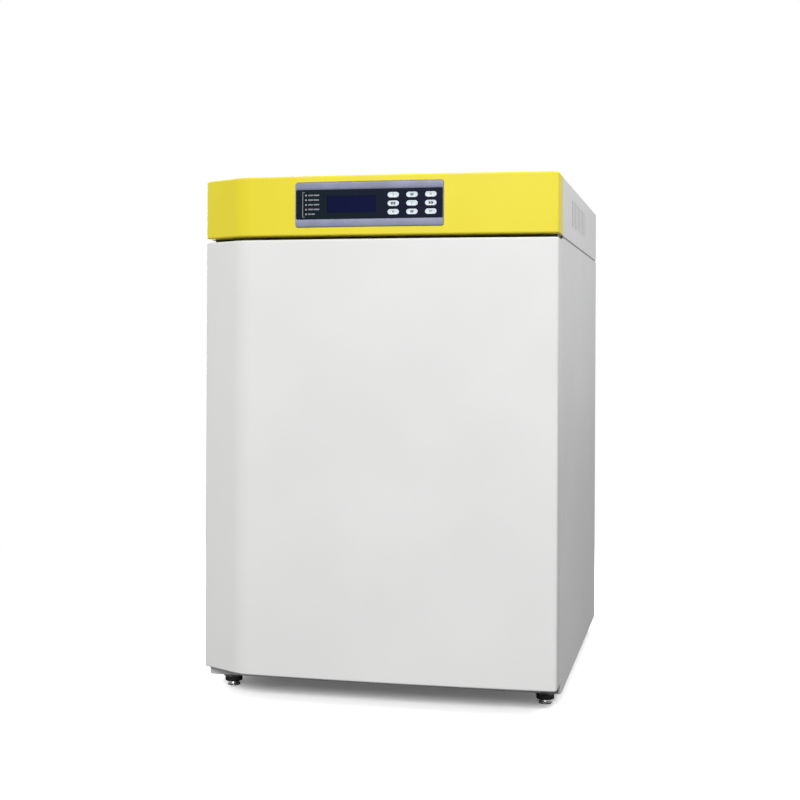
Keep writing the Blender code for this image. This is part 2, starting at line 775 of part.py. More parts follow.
def levelling_feet():
    """Four threaded feet: steel pad, black locking collar and stud, screwed into the base."""
    stud_top = BASE_HEIGHT + PAN_RIM - STUD_SHORTFALL
    collar_top = PAD_HEIGHT + COLLAR_HEIGHT
    profile = [(0.0, stud_top), (STUD_RADIUS, stud_top), (STUD_RADIUS, collar_top),
               (COLLAR_RADIUS - EASE, collar_top), (COLLAR_RADIUS, collar_top - EASE),
               (COLLAR_RADIUS, PAD_HEIGHT + EASE), (COLLAR_RADIUS - EASE, PAD_HEIGHT),
               (PAD_RADIUS, PAD_HEIGHT), (PAD_RADIUS, EASE), (PAD_RADIUS - EASE, 0.0), (0.0, 0.0)]
    for name, place in foot_places().items():
        foot = stood(turned(profile), (*place, 0.0))
        piece(name, foot, "zinc steel", origin=(*place, 0.0), smooth=True)


def side_panels():
    """Left and right outer panels, each a folded sheet with front and rear returns."""
    front = FRAME_BACK + SEAM
    back = BODY_BACK
    inner = RIGHT - SHEET
    lip = RIGHT - RETURN_WIDTH
    channel = [(RIGHT, front), (RIGHT, back), (lip, back), (lip, back - SHEET),
               (inner, back - SHEET), (inner, front + SHEET), (lip, front + SHEET), (lip, front)]
    right = prism([channel], BASE_HEIGHT, BODY_TOP)
    left = prism([[(-x, y) for x, y in reversed(channel)]], BASE_HEIGHT, BODY_TOP)
    piece("left_side_panel", left, "grey paint")
    piece("right_side_panel", right, "grey paint")


def back_panel():
    """The rear panel, a folded pan between the side panels' returns."""
    half = RIGHT - RETURN_WIDTH - SEAM
    front = BODY_BACK - BACK_PAN_DEPTH
    channel = [(-half, front), (-half + SHEET, front), (-half + SHEET, BODY_BACK - SHEET),
               (half - SHEET, BODY_BACK - SHEET), (half - SHEET, front), (half, front),
               (half, BODY_BACK), (-half, BODY_BACK)]
    panel = piece("back_panel", prism([channel], BASE_HEIGHT, DECK_TOP - SHEET - SEAM), "grey paint")
    x, z = PORT_PLACE
    cut(panel, rod(PORT_RADIUS + SEAM, front, BODY_BACK + SHEET, (x, z), "Y", sides=24))


def front_frame():
    """The painted frame round the chamber mouth, folded back to meet the side panels."""
    mesh = open_box((LEFT, BODY_FRONT, BASE_HEIGHT), (RIGHT, FRAME_BACK, BODY_TOP), [(0, 1, 0)],
                    radius=FOLD_RADIUS)
    reach = CHAMBER_FLANGE + SEAM
    mouth = rounded_rectangle(
        (-CHAMBER_SIDE - reach, CHAMBER_FLOOR - reach),
        (CHAMBER_SIDE + reach, CHAMBER_TOP + reach), CHAMBER_CORNER + reach, CORNER_STEPS)
    cut(piece("front_frame", mesh, "white paint"),
        prism([mouth], BODY_FRONT - SHEET, FRAME_BACK + SHEET, "Y"))


def ceiling_passes(bottom, top):
    """Cutters for what passes through the ceiling: fan shaft, sensor, probe and gas nozzle."""
    passes = ((FAN_PLACE, SHAFT_RADIUS + EASE), (SENSOR_PLACE, SENSOR_RADIUS),
              (PROBE_PLACE, PROBE_RADIUS), (GAS_INLET_PLACE, TUBE_RADIUS))
    return joined(*[rod(radius + SEAM, bottom, top, place, sides=16) for place, radius in passes])


def port_pass(front, back):
    """The cutter for the access port's sleeve."""
    return rod(PORT_RADIUS + SEAM, front, back, PORT_PLACE, "Y", sides=24)


def chamber_liner():
    """The deep-drawn stainless chamber with rounded corners and a flange round its mouth."""
    low = (-CHAMBER_SIDE, BODY_FRONT, CHAMBER_FLOOR)
    high = (CHAMBER_SIDE, CHAMBER_BACK, CHAMBER_TOP)
    mesh = tin(low, high, BODY_FRONT, CHAMBER_CORNER, CHAMBER_FLANGE, CHAMBER_FLANGE)
    liner = piece("chamber_liner", mesh, "stainless steel")
    cut(liner, ceiling_passes(CHAMBER_TOP - SHEET, CHAMBER_TOP + 2 * SHEET),
        port_pass(CHAMBER_BACK - SHEET, CHAMBER_BACK + 2 * SHEET))


def chamber_heater():
    """The heating foil wrapped round both sides and the floor of the chamber."""
    near = SHEET + SEAM
    far = near + HEATER_THICKNESS
    half = CHAMBER_SIDE
    top = CHAMBER_TOP - CHAMBER_CORNER - HEATER_MARGIN
    centre_x = half - CHAMBER_CORNER
    centre_z = CHAMBER_FLOOR + CHAMBER_CORNER
    quarter = math.pi / 2

    def wrap(reach):
        radius = CHAMBER_CORNER + reach
        right = arc((centre_x, centre_z), radius, 0.0, -quarter, CORNER_STEPS)
        left = arc((-centre_x, centre_z), radius, -quarter, -2 * quarter, CORNER_STEPS)
        return [(half + reach, top)] + right + left + [(-half - reach, top)]

    outline = wrap(far) + wrap(near)[::-1]
    front = BODY_FRONT + HEATER_MARGIN + CHAMBER_CORNER
    back = CHAMBER_BACK - CHAMBER_CORNER - HEATER_MARGIN
    piece("chamber_heater", prism([outline], front, back, "Y"), "heater foil")


def insulation_jacket():
    """The insulation that fills the cabinet between its panels and the chamber."""
    gap = SHEET + SEAM
    outer = block((LEFT + gap, INNER_FRONT, BASE_HEIGHT + PAN_RIM + SEAM),
                  (RIGHT - gap, BODY_BACK - BACK_PAN_DEPTH - SEAM, DECK_TOP - SHEET - SEAM))
    reach = SHEET + HEATER_THICKNESS + 2 * SEAM
    half = CHAMBER_SIDE + reach
    mouth = rounded_rectangle((-half, CHAMBER_FLOOR - reach), (half, CHAMBER_TOP + reach),
                              CHAMBER_CORNER + reach, CORNER_STEPS)
    hollow = prism([mouth], FRAME_BACK - SHEET, CHAMBER_BACK + SHEET + SEAM, "Y")
    cut(piece("insulation_jacket", outer, "mineral wool"), hollow,
        ceiling_passes(CHAMBER_TOP - SHEET, DECK_TOP + SHEET),
        port_pass(CHAMBER_BACK - SHEET, BODY_BACK))


def electronics_deck():
    """The plate that closes the cabinet's top; its upturned rim carries the top cover."""
    gap = SHEET + SEAM
    mesh = open_box((LEFT + gap, INNER_FRONT, DECK_TOP - SHEET),
                    (RIGHT - gap, BODY_BACK - gap, DECK_TOP + DECK_RIM), [(0, 0, 1), (0, -1, 0)],
                    radius=FOLD_RADIUS)
    deck = piece("electronics_deck", mesh, "zinc steel")
    cut(deck, ceiling_passes(DECK_TOP - 2 * SHEET, DECK_TOP + SHEET))


def top_cover():
    """The head's grey cover, vented at both sides, with openings for the rear fittings."""
    mesh = open_box((LEFT, BODY_FRONT, HEAD_BOTTOM), (RIGHT, BODY_BACK, HEIGHT),
                    [(0, 0, -1), (0, -1, 0)], radius=COVER_FOLD_RADIUS)
    cover = piece("top_cover", mesh, "grey paint")
    wall = (BODY_BACK - 2 * SHEET, BODY_BACK + SHEET)
    vents = []
    for side in (LEFT, RIGHT):
        for number in range(VENT_COUNT):
            y = BODY_FRONT + VENT_SETBACK + number * VENT_PITCH
            slot = [(y + v, HEIGHT - VENT_DROP + u)
                    for u, v in capsule((0.0, 0.0), VENT_HEIGHT, VENT_WIDTH, 2)]
            vents.append(prism([slot], side - 2 * SHEET, side + 2 * SHEET, "X"))
    inlet = framed(INLET_PLACE, INLET_WIDTH + 2 * SEAM, INLET_HEIGHT + 2 * SEAM, COVER_FOLD_RADIUS)
    fitting = rod(FITTING_RADIUS + SEAM, *wall, FITTING_PLACE, "Y", sides=16)
    cut(cover, joined(*vents), joined(prism([inlet], *wall, "Y"), fitting))


def framed(centre, width, height, radius, steps=2):
    """A rounded rectangle about a centre."""
    return rounded_rectangle((centre[0] - width / 2, centre[1] - height / 2),
                             (centre[0] + width / 2, centre[1] + height / 2), radius, steps)


def fascia():
    """The yellow control head front, with a window for the control panel."""
    shell = piece("fascia", front_shell(HEAD_BOTTOM, HEIGHT, BODY_FRONT - SEAM), "yellow paint")
    window = framed((PANEL_X, PANEL_Z), PANEL_WIDTH + 2 * SEAM, PANEL_HEIGHT + 2 * SEAM,
                    PANEL_CORNER + SEAM, 3)
    cut(shell, prism([window], FRONT_CREST - PANEL_DEPTH, FRONT_CREST + PANEL_DEPTH, "Y"))


def key_places():
    """Names and centres of the nine keys, by row from the top."""
    rows = ("upper", "middle", "lower")
    columns = ("left", "centre", "right")
    return {f"key_{row}_{column}": (KEY_CENTRE_X + (i - 1) * KEY_PITCH_X,
                                    PANEL_Z - (j - 1) * KEY_PITCH_Z)
            for j, row in enumerate(rows) for i, column in enumerate(columns)}


def control_panel():
    """Bezel, dark window, display, nine keys and the board behind them, which carries the lamps."""
    front = -DEPTH / 2
    window_front = front + KEY_STAND
    board_front = front + KEY_LENGTH + KEY_TRAVEL + SEAM
    centre = (PANEL_X, PANEL_Z)
    outer = framed(centre, PANEL_WIDTH, PANEL_HEIGHT, PANEL_CORNER, 3)
    opening = framed(centre, WINDOW_WIDTH, WINDOW_HEIGHT, WINDOW_CORNER)
    piece("display_bezel", prism([outer, opening], front, front + PANEL_DEPTH, "Y"), "silver plastic")

    display = (DISPLAY_X, PANEL_Z)
    display_hole = framed(display, DISPLAY_WIDTH + 2 * SEAM, DISPLAY_HEIGHT + 2 * SEAM,
                          DISPLAY_CORNER, 1)
    key_holes = [capsule(place, KEY_WIDTH + 2 * SEAM, KEY_HEIGHT + 2 * SEAM, 4)
                 for place in key_places().values()]
    lamp_places = [(LAMP_X, PANEL_Z + (i - (LAMP_COUNT - 1) / 2) * LAMP_PITCH)
                   for i in range(LAMP_COUNT)]
    lamp_holes = [circle(place, LAMP_RADIUS + SEAM, 10) for place in lamp_places]
    pane = framed(centre, WINDOW_WIDTH - 2 * SEAM, WINDOW_HEIGHT - 2 * SEAM, WINDOW_CORNER)
    piece("display_panel",
          prism([pane, display_hole, *key_holes, *lamp_holes],
                window_front, window_front + WINDOW_THICKNESS, "Y"), "black acrylic")
    board = prism([pane], board_front, board_front + BOARD_THICKNESS, "Y")
    lamps = [rod(LAMP_RADIUS, window_front + SEAM, board_front + BOARD_THICKNESS / 2, place, "Y",
                 sides=10) for place in lamp_places]
    piece("keypad_board", fused(board, joined(*lamps)), "circuit board")
    glass = framed(display, DISPLAY_WIDTH, DISPLAY_HEIGHT, DISPLAY_CORNER, 1)
    piece("lcd_display", prism([glass], window_front + DISPLAY_SINK, board_front - SEAM, "Y"),
          "display glass")
    for name, (x, z) in key_places().items():
        bm = bmesh.new()
        bm.from_mesh(prism([capsule((x, z), KEY_WIDTH, KEY_HEIGHT, 4)], front, front + KEY_LENGTH,
                           "Y", flat_caps=True))
        rim = [edge for edge in bm.edges if all(abs(v.co.y - front) < WELD for v in edge.verts)]
        bmesh.ops.bevel(bm, geom=rim, offset=KEY_ROUNDING, segments=2, profile=0.5, affect="EDGES")
        piece(name, from_bmesh(bm), "pale key", origin=(x, front, z), smooth=True)


def controller_board():
    """The controller board on the deck with its larger components."""
    x = LEFT + BOARD_INSET
    y = BODY_FRONT + BOARD_SETBACK
    width, depth = BOARD_SIZE
    board = block((x, y, DECK_FLOOR), (x + width, y + depth, DECK_FLOOR + BOARD_THICKNESS))
    components = []
    for (u, v), (long, deep, tall) in BOARD_COMPONENTS.values():
        components.append(block((x + u, y + v, DECK_FLOOR),
                                (x + u + long, y + v + deep, DECK_FLOOR + tall)))
    piece("controller_board", fused(board, joined(*components)), "circuit board")


def power_supply():
    """The power supply's sheet case on the deck."""
    width, depth, height = SUPPLY_SIZE
    far = (RIGHT - SUPPLY_INSET, BODY_BACK - SUPPLY_FORWARD, DECK_FLOOR + height)
    near = (far[0] - width, far[1] - depth, DECK_FLOOR)
    piece("power_supply", open_box(near, far, [(0, 0, -1)], radius=FOLD_RADIUS), "zinc steel")


def gas_system():
    """The gas valve on the deck, its supply tube and the fitting on the rear."""
    tube_z = DECK_FLOOR + TUBE_LIFT
    x, y = GAS_INLET_PLACE
    long, deep, tall = VALVE_SIZE
    body = block((x - long / 2, y - deep / 2, DECK_FLOOR),
                 (x + long / 2, y + deep / 2, DECK_FLOOR + tall), 2 * EASE, 1)
    coil = rod(COIL_RADIUS, DECK_FLOOR + tall / 2, DECK_FLOOR + COIL_HEIGHT, GAS_INLET_PLACE)
    nozzle = rod(TUBE_RADIUS, CHAMBER_TOP - NOZZLE_REACH, DECK_FLOOR + tall / 4, GAS_INLET_PLACE,
                 sides=12)
    piece("gas_valve", fused(body, joined(coil, nozzle)), "zinc steel")

    fitting_x, fitting_z = FITTING_PLACE
    inside = BODY_BACK - FITTING_LENGTH
    turn_y = BODY_BACK - TUBE_TURN
    supply = bent_run([(fitting_x, inside - SEAM, fitting_z), (fitting_x, turn_y, fitting_z),
                       (fitting_x, turn_y, tube_z), (fitting_x, y, tube_z),
                       (x - long / 2 - SEAM, y, tube_z)], TUBE_BEND)
    piece("gas_tube", tube(supply, TUBE_RADIUS), "white silicone", smooth=True)

    outside = DEPTH / 2
    nut = BODY_BACK + SEAM
    barbs = []
    for number in range(2):
        tip = outside - number * BARB_PITCH
        barbs += [(BARB_ROOT, tip), (BARB_RADIUS, tip - BARB_PITCH + HIDDEN_STEP),
                  (BARB_ROOT, tip - BARB_PITCH)]
    profile = [(0.0, outside)] + barbs + [
        (BARB_ROOT, nut + NUT_HEIGHT), (NUT_RADIUS, nut + NUT_HEIGHT), (NUT_RADIUS, nut),
        (FITTING_RADIUS, nut), (FITTING_RADIUS, inside + SPIGOT_LENGTH),
        (SPIGOT_RADIUS, inside + SPIGOT_LENGTH), (SPIGOT_RADIUS, inside), (0.0, inside)]
    fitting = stood(turned(profile, 18), (fitting_x, 0.0, fitting_z), "Y")
    piece("gas_fitting", fitting, "brass", smooth=True)


def circulation_fan():
    """The fan motor on the deck and the wheel on its shaft under the chamber's ceiling."""
    x, y = FAN_PLACE
    cap = DECK_FLOOR + MOTOR_HEIGHT
    rim = DECK_FLOOR + MOTOR_FLANGE
    motor = [(0.0, cap), (MOTOR_RADIUS - MOTOR_FLANGE, cap), (MOTOR_RADIUS, cap - MOTOR_FLANGE),
             (MOTOR_RADIUS, rim), (MOTOR_FLANGE_RADIUS, rim), (MOTOR_FLANGE_RADIUS, DECK_FLOOR),
             (0.0, DECK_FLOOR)]
    piece("fan_motor", stood(turned(motor, 28), (x, y, 0.0)), "zinc steel", smooth=True)

    top = CHAMBER_TOP - WHEEL_DROP
    bottom = top - WHEEL_HEIGHT
    plate = bottom + WHEEL_PLATE
    hub = [(0.0, DECK_TOP), (SHAFT_RADIUS, DECK_TOP), (SHAFT_RADIUS, top),
           (HUB_TOP_RADIUS, top - WHEEL_PLATE), (HUB_FOOT_RADIUS, plate), (WHEEL_RADIUS, plate),
           (WHEEL_RADIUS, bottom), (0.0, bottom)]
    wheel = stood(turned(hub, 24), (x, y, 0.0))
    half = BLADE_THICKNESS / 2
    blades = []
    for number in range(WHEEL_BLADES):
        blade = block((0.0, -half, bottom + WHEEL_PLATE / 2),
                      (BLADE_END - BLADE_START, half, top - WHEEL_PLATE))
        sweep = (Matrix.Translation((BLADE_START, 0.0, 0.0))
                 @ Matrix.Rotation(BLADE_SWEEP, 4, "Z"))
        turn = Matrix.Rotation(2 * math.pi * number / WHEEL_BLADES, 4, "Z")
        blade.transform(Matrix.Translation((x, y, 0.0)) @ turn @ sweep)
        blades.append(blade)
    piece("fan_wheel", fused(wheel, joined(*blades)), "black plastic", origin=(x, y, bottom))


def air_duct_cover():
    """The cover under the ceiling: air comes up its round inlet and leaves by slots at the sides."""
    side = CHAMBER_SIDE - DUCT_SIDE_MARGIN
    low = (-side, CHAMBER_BACK - DUCT_FORWARD, CHAMBER_TOP - SEAM - DUCT_DEPTH)
    high = (side, CHAMBER_BACK - CHAMBER_CORNER - SEAM, CHAMBER_TOP - SEAM)
    cover = open_box(low, high, [(0, 0, 1)], radius=DUCT_CORNER)
    duct = piece("air_duct_cover", cover, "stainless steel")
    inlet = rod(DUCT_INLET_RADIUS, low[2] - SHEET, low[2] + 2 * SHEET, FAN_PLACE, sides=24)
    z = (low[2] + high[2]) / 2
    outlets = []
    for wall in (low[0], high[0]):
        for number in range(OUTLET_COUNT):
            y = FAN_PLACE[1] + (number - (OUTLET_COUNT - 1) / 2) * OUTLET_PITCH
            slot = capsule((y, z), OUTLET_LENGTH, OUTLET_WIDTH)
            outlets.append(prism([slot], wall - 2 * SHEET, wall + 2 * SHEET, "X"))
    cut(duct, joined(inlet, *outlets))


def chamber_sensors():
    """The gas sensor and the temperature probe, both let down through the ceiling."""
    cap = DECK_FLOOR + SENSOR_HEAD_HEIGHT
    tip = CHAMBER_TOP - SENSOR_REACH
    neck = tip + SENSOR_FILTER
    sensor = [(0.0, cap), (SENSOR_HEAD_RADIUS - 2 * EASE, cap), (SENSOR_HEAD_RADIUS, cap - 2 * EASE),
              (SENSOR_HEAD_RADIUS, DECK_FLOOR), (SENSOR_RADIUS, DECK_FLOOR), (SENSOR_RADIUS, neck),
              (SENSOR_RADIUS - EASE, neck - EASE), (SENSOR_RADIUS - EASE, tip + 2 * EASE),
              (SENSOR_RADIUS - 3 * EASE, tip), (0.0, tip)]
    place = (*SENSOR_PLACE, 0.0)
    piece("co2_sensor", stood(turned(sensor, 24), place), "white silicone", smooth=True)

    cap = DECK_FLOOR + PROBE_HEAD_HEIGHT
    tip = CHAMBER_TOP - PROBE_REACH
    probe = [(0.0, cap), (PROBE_HEAD_RADIUS, cap), (PROBE_HEAD_RADIUS, DECK_FLOOR),
             (PROBE_RADIUS, DECK_FLOOR), (PROBE_RADIUS, tip + 2 * EASE), (PROBE_RADIUS - EASE, tip),
             (0.0, tip)]
    place = (*PROBE_PLACE, 0.0)
    piece("temperature_probe", stood(turned(probe, 16), place), "stainless steel", smooth=True)


def shelf_levels():
    """The height of each shelf's underside, from the lowest shelf up."""
    pitch = (HIGHEST_SHELF - LOWEST_SHELF) / (len(SHELF_NAMES) - 1)
    return {name: LOWEST_SHELF + number * pitch for number, name in enumerate(SHELF_NAMES)}


def shelf_rack():
    """The rack: a folded plate at each side with a pair of runners per shelf, tied at the rear."""
    wall = CHAMBER_SIDE - SEAM
    face = wall - SHEET
    reach = face - RUNNER_REACH
    bottom = CHAMBER_FLOOR + CHAMBER_CORNER + RACK_LIFT
    top = CHAMBER_TOP - DUCT_DEPTH - RACK_DROP
    outline = [(wall, bottom), (wall, top), (face, top)]
    for level in reversed(shelf_levels().values()):
        for runner in (level + SHEET + RUNNER_GAP, level - SEAM - SHEET):
            outline += [(face, runner + SHEET), (reach, runner + SHEET), (reach, runner),
                        (face, runner)]
    outline.append((face, bottom))
    front = SHELF_FRONT - RACK_OVERHANG
    back = SHELF_BACK + RACK_OVERHANG
    right = prism([outline], front, back, "Y")
    left = prism([[(-x, z) for x, z in reversed(outline)]], front, back, "Y")
    tie_back = back - RACK_TIE_SETBACK
    ties = [block((-face - SHEET / 2, tie_back - RACK_TIE, z), (face + SHEET / 2, tie_back, z + RACK_TIE))
            for z in (bottom + RACK_TIE, top - 3 * RACK_TIE)]
    piece("shelf_rack", fused(left, right, joined(*ties)), "stainless steel")


def shelves():
    """Three perforated shelves with lips turned down at the front and the rear."""
    half = CHAMBER_SIDE - SEAM - SHEET - SHELF_CLEARANCE
    inner = half - RUNNER_REACH - 2 * SHELF_CLEARANCE
    front = SHELF_FRONT
    back = SHELF_BACK
    step_x = 2 * (inner - SHELF_SIDE_MARGIN) / SLOT_COLUMNS
    step_y = (back - front - 2 * SHELF_END_MARGIN) / SLOT_ROWS
    slots = []
    for row in range(SLOT_ROWS):
        y = front + SHELF_END_MARGIN + (row + 0.5) * step_y
        for column in range(SLOT_COLUMNS):
            x = (column - (SLOT_COLUMNS - 1) / 2) * step_x
            slots.append(capsule((x, y), SLOT_LENGTH, SLOT_WIDTH, 2))
    outline = rounded_rectangle((-half, front), (half, back), SHELF_CORNER, 1)
    lip_inset = SHEET / 3
    for name, level in shelf_levels().items():
        plate = prism([outline], level, level + SHEET)
        lips = [block((-inner, y, level - SHELF_LIP), (inner, y + SHEET, level + SHEET / 2))
                for y in (front + lip_inset, back - lip_inset - SHEET)]
        punches = [prism([slot], level - SHEET, level + 2 * SHEET) for slot in slots]
        shelf = carved(fused(plate, joined(*lips)), joined(*punches))
        piece(name, shelf, "stainless steel", origin=(0.0, front, level))


def humidity_pan():
    """The water tray on the chamber floor."""
    bottom = CHAMBER_FLOOR + SEAM
    half = CHAMBER_SIDE - WATER_PAN_SIDE_MARGIN
    far = (half, CHAMBER_BACK - WATER_PAN_REAR_MARGIN, bottom + WATER_PAN_HEIGHT)
    tray = open_box((-half, SHELF_FRONT, bottom), far, [(0, 0, 1)], radius=WATER_PAN_CORNER)
    piece("humidity_pan", tray, "stainless steel", origin=(0.0, SHELF_FRONT, bottom))


def outer_door():
    """The outer door: painted shell, inner liner with a recess, gasket and hinge bushes."""
    axis = (HINGE_X, HINGE_Y, DOOR_BOTTOM)
    bore = PIN_RADIUS + PIN_CLEARANCE
    sleeve = bore + BUSH_WALL
    shell = piece("door_shell", front_shell(DOOR_BOTTOM, DOOR_TOP, DOOR_BACK), "white paint",
                  origin=axis)
    holes = [rod(sleeve + SEAM, z - 2 * SHEET, z + 2 * SHEET, (HINGE_X, HINGE_Y), sides=24)
             for z in (DOOR_BOTTOM, DOOR_TOP)]
    cut(shell, joined(*holes))

    inset = SHEET + SEAM
    half = RIGHT - DOOR_RECESS_SIDE_MARGIN
    recess_bottom = DOOR_BOTTOM + inset + DOOR_RECESS_MARGIN
    recess_top = DOOR_TOP - inset - DOOR_RECESS_MARGIN
    liner = tin((-half, DOOR_BACK - DOOR_RECESS, recess_bottom), (half, DOOR_BACK, recess_top),
                DOOR_BACK, DOOR_RECESS_CORNER, RIGHT - inset - half, DOOR_RECESS_MARGIN, square=True)
    piece("door_liner", liner, "white paint", origin=axis)

    def ring(reach):
        side = half + DOOR_GASKET_SIDE + reach
        end = DOOR_GASKET_END + reach
        return rounded_rectangle((-side, recess_bottom - end), (side, recess_top + end),
                                 DOOR_RECESS_CORNER + 2 * EASE + reach)

    gasket = prism([ring(DOOR_GASKET_WIDTH), ring(0.0)], DOOR_BACK + SEAM, BODY_FRONT - SEAM, "Y")
    piece("door_gasket", gasket, "black rubber", origin=axis)

    for name, end, inward in (("lower_door_bush", DOOR_BOTTOM, 1), ("upper_door_bush", DOOR_TOP, -1)):
        seat = end - inward * SEAM
        outside = seat - inward * BUSH_FLANGE
        inside = end + inward * (PIN_LENGTH + BUSH_SPARE)
        collar = sleeve + BUSH_COLLAR
        profile = [(bore, outside), (collar, outside), (collar, seat), (sleeve, seat),
                   (sleeve, inside), (bore, inside)]
        bush = stood(turned(profile, 24, closed=True), (HINGE_X, HINGE_Y, 0.0))
        piece(name, bush, "black plastic", origin=axis, smooth=True)


def hinge_bracket(pin_base, upward, plate_back, leg_low=None):
    """One folded bracket of the outer door's hinge, with its pin standing on it.

    A leg, where there is one, runs down the front frame from the plate to leg_low.
    """
    near = HINGE_X - BRACKET_INWARD
    far = HINGE_X + BRACKET_OUTWARD
    underside = pin_base - upward * HINGE_PLATE
    plate = block((near, HINGE_Y - BRACKET_FORWARD, min(pin_base, underside)),
                  (far, plate_back, max(pin_base, underside)))
    tip = pin_base + upward * (BUSH_FLANGE + 2 * SEAM + PIN_LENGTH)
    root = (pin_base + underside) / 2
    additions = [rod(PIN_RADIUS, min(tip, root), max(tip, root), (HINGE_X, HINGE_Y))]
    if leg_low is not None:
        leg_back = BODY_FRONT - SEAM
        additions.append(block((near, leg_back - HINGE_PLATE, leg_low), (far, leg_back, root)))
    return fused(plate, joined(*additions))


def door_hinge_brackets():
    """Lower and upper brackets of the outer door, fixed to the front frame."""
    lower = hinge_bracket(DOOR_BOTTOM - 2 * SEAM - BUSH_FLANGE, 1,
                          BODY_FRONT - SEAM - HINGE_PLATE / 2, leg_low=BASE_HEIGHT + EASE)
    upper = hinge_bracket(BODY_TOP + SEAM, -1, FRAME_BACK - EASE)
    piece("lower_door_bracket", lower, "zinc steel")
    piece("upper_door_bracket", upper, "zinc steel")


def glass_plan():
    """Half width, bottom, top, front and back planes of the glass door."""
    back = BODY_FRONT - 2 * SEAM - GLASS_GASKET
    return (CHAMBER_SIDE + GLASS_OVERLAP, CHAMBER_FLOOR - GLASS_OVERLAP,
            CHAMBER_TOP + GLASS_OVERLAP, back - GLASS_THICKNESS, back)


def glass_pivot():
    """The x, y of the glass door's hinge pins, in the middle of its rail."""
    half, _, _, front, _ = glass_plan()
    return (half - EASE, front - SEAM - RAIL_THICKNESS / 2)


def glass_door():
    """The inner glass door's pane, and the gasket round the chamber mouth that it closes on."""
    half, bottom, top, front, back = glass_plan()
    knob = (-half + KNOB_INSET, (bottom + top) / 2)
    pane = rounded_rectangle((-half, bottom), (half, top), GLASS_CORNER)
    spindle_hole = circle(knob, SPINDLE_RADIUS + SEAM, 16)
    piece("glass_door", prism([pane, spindle_hole], front, back, "Y"), "glass",
          origin=(*glass_pivot(), bottom))

    def ring(reach):
        side = CHAMBER_SIDE + GLASS_GASKET_SETBACK + reach
        end = GLASS_GASKET_SETBACK + reach
        return rounded_rectangle((-side, CHAMBER_FLOOR - end), (side, CHAMBER_TOP + end),
                                 CHAMBER_CORNER + GLASS_GASKET_SETBACK + reach)

    gasket_back = BODY_FRONT - SEAM
    gasket = prism([ring(GLASS_GASKET_WIDTH), ring(0.0)], gasket_back - GLASS_GASKET, gasket_back, "Y")
    piece("chamber_gasket", gasket, "white silicone")


def glass_door_hinge():
    """The rail clamped to the glass door's edge and the strip on the frame that carries its pins."""
    half, bottom, top, front, back = glass_plan()
    pivot = glass_pivot()
    ends = ((bottom, -1), (top, 1))
    rail = block((half - RAIL_WIDTH, front - SEAM - RAIL_THICKNESS, bottom - RAIL_OVERHANG),
                 (half + RAIL_MARGIN, front - SEAM, top + RAIL_OVERHANG), EASE, 1)
    hooks = []
    holes = []
    for edge, outward in ends:
        near = edge + outward * SEAM
        far = edge + outward * (RAIL_OVERHANG - 2 * HIDDEN_STEP)
        hooks.append(block((half - RAIL_WIDTH + 2 * EASE, pivot[1], min(near, far)),
                           (half - RAIL_HOOK_SETBACK, back, max(near, far))))
        mouth = edge + outward * 2 * RAIL_OVERHANG
        blind = edge - outward * GLASS_PIN_LENGTH
        holes.append(rod(GLASS_PIN_RADIUS + SEAM, min(mouth, blind), max(mouth, blind), pivot,
                         sides=16))
    cut(piece("glass_door_hinge_rail", fused(rail, joined(*hooks)), "stainless steel",
              origin=(*pivot, bottom)), joined(*holes))

    frame_face = BODY_FRONT - SEAM
    strip_x = half + HINGE_STRIP_SETOUT
    reach = RAIL_OVERHANG + SEAM
    strip = block((strip_x, frame_face - HINGE_STRIP, bottom - reach - HINGE_STRIP),
                  (strip_x + HINGE_STRIP_WIDTH, frame_face, top + reach + HINGE_STRIP))
    lugs = []
    pins = []
    for edge, outward in ends:
        near = edge + outward * reach
        far = near + outward * HINGE_STRIP
        lugs.append(block((pivot[0] - HINGE_LUG_REACH, pivot[1] - HINGE_LUG_REACH, min(near, far)),
                          (strip_x + HINGE_STRIP, frame_face - HINGE_STRIP / 2, max(near, far))))
        tip = edge - outward * (GLASS_PIN_LENGTH - EASE)
        root = (near + far) / 2
        pins.append(rod(GLASS_PIN_RADIUS, min(tip, root), max(tip, root), pivot, sides=16))
    piece("glass_door_hinge_strip", fused(strip, joined(*lugs), joined(*pins)), "stainless steel")


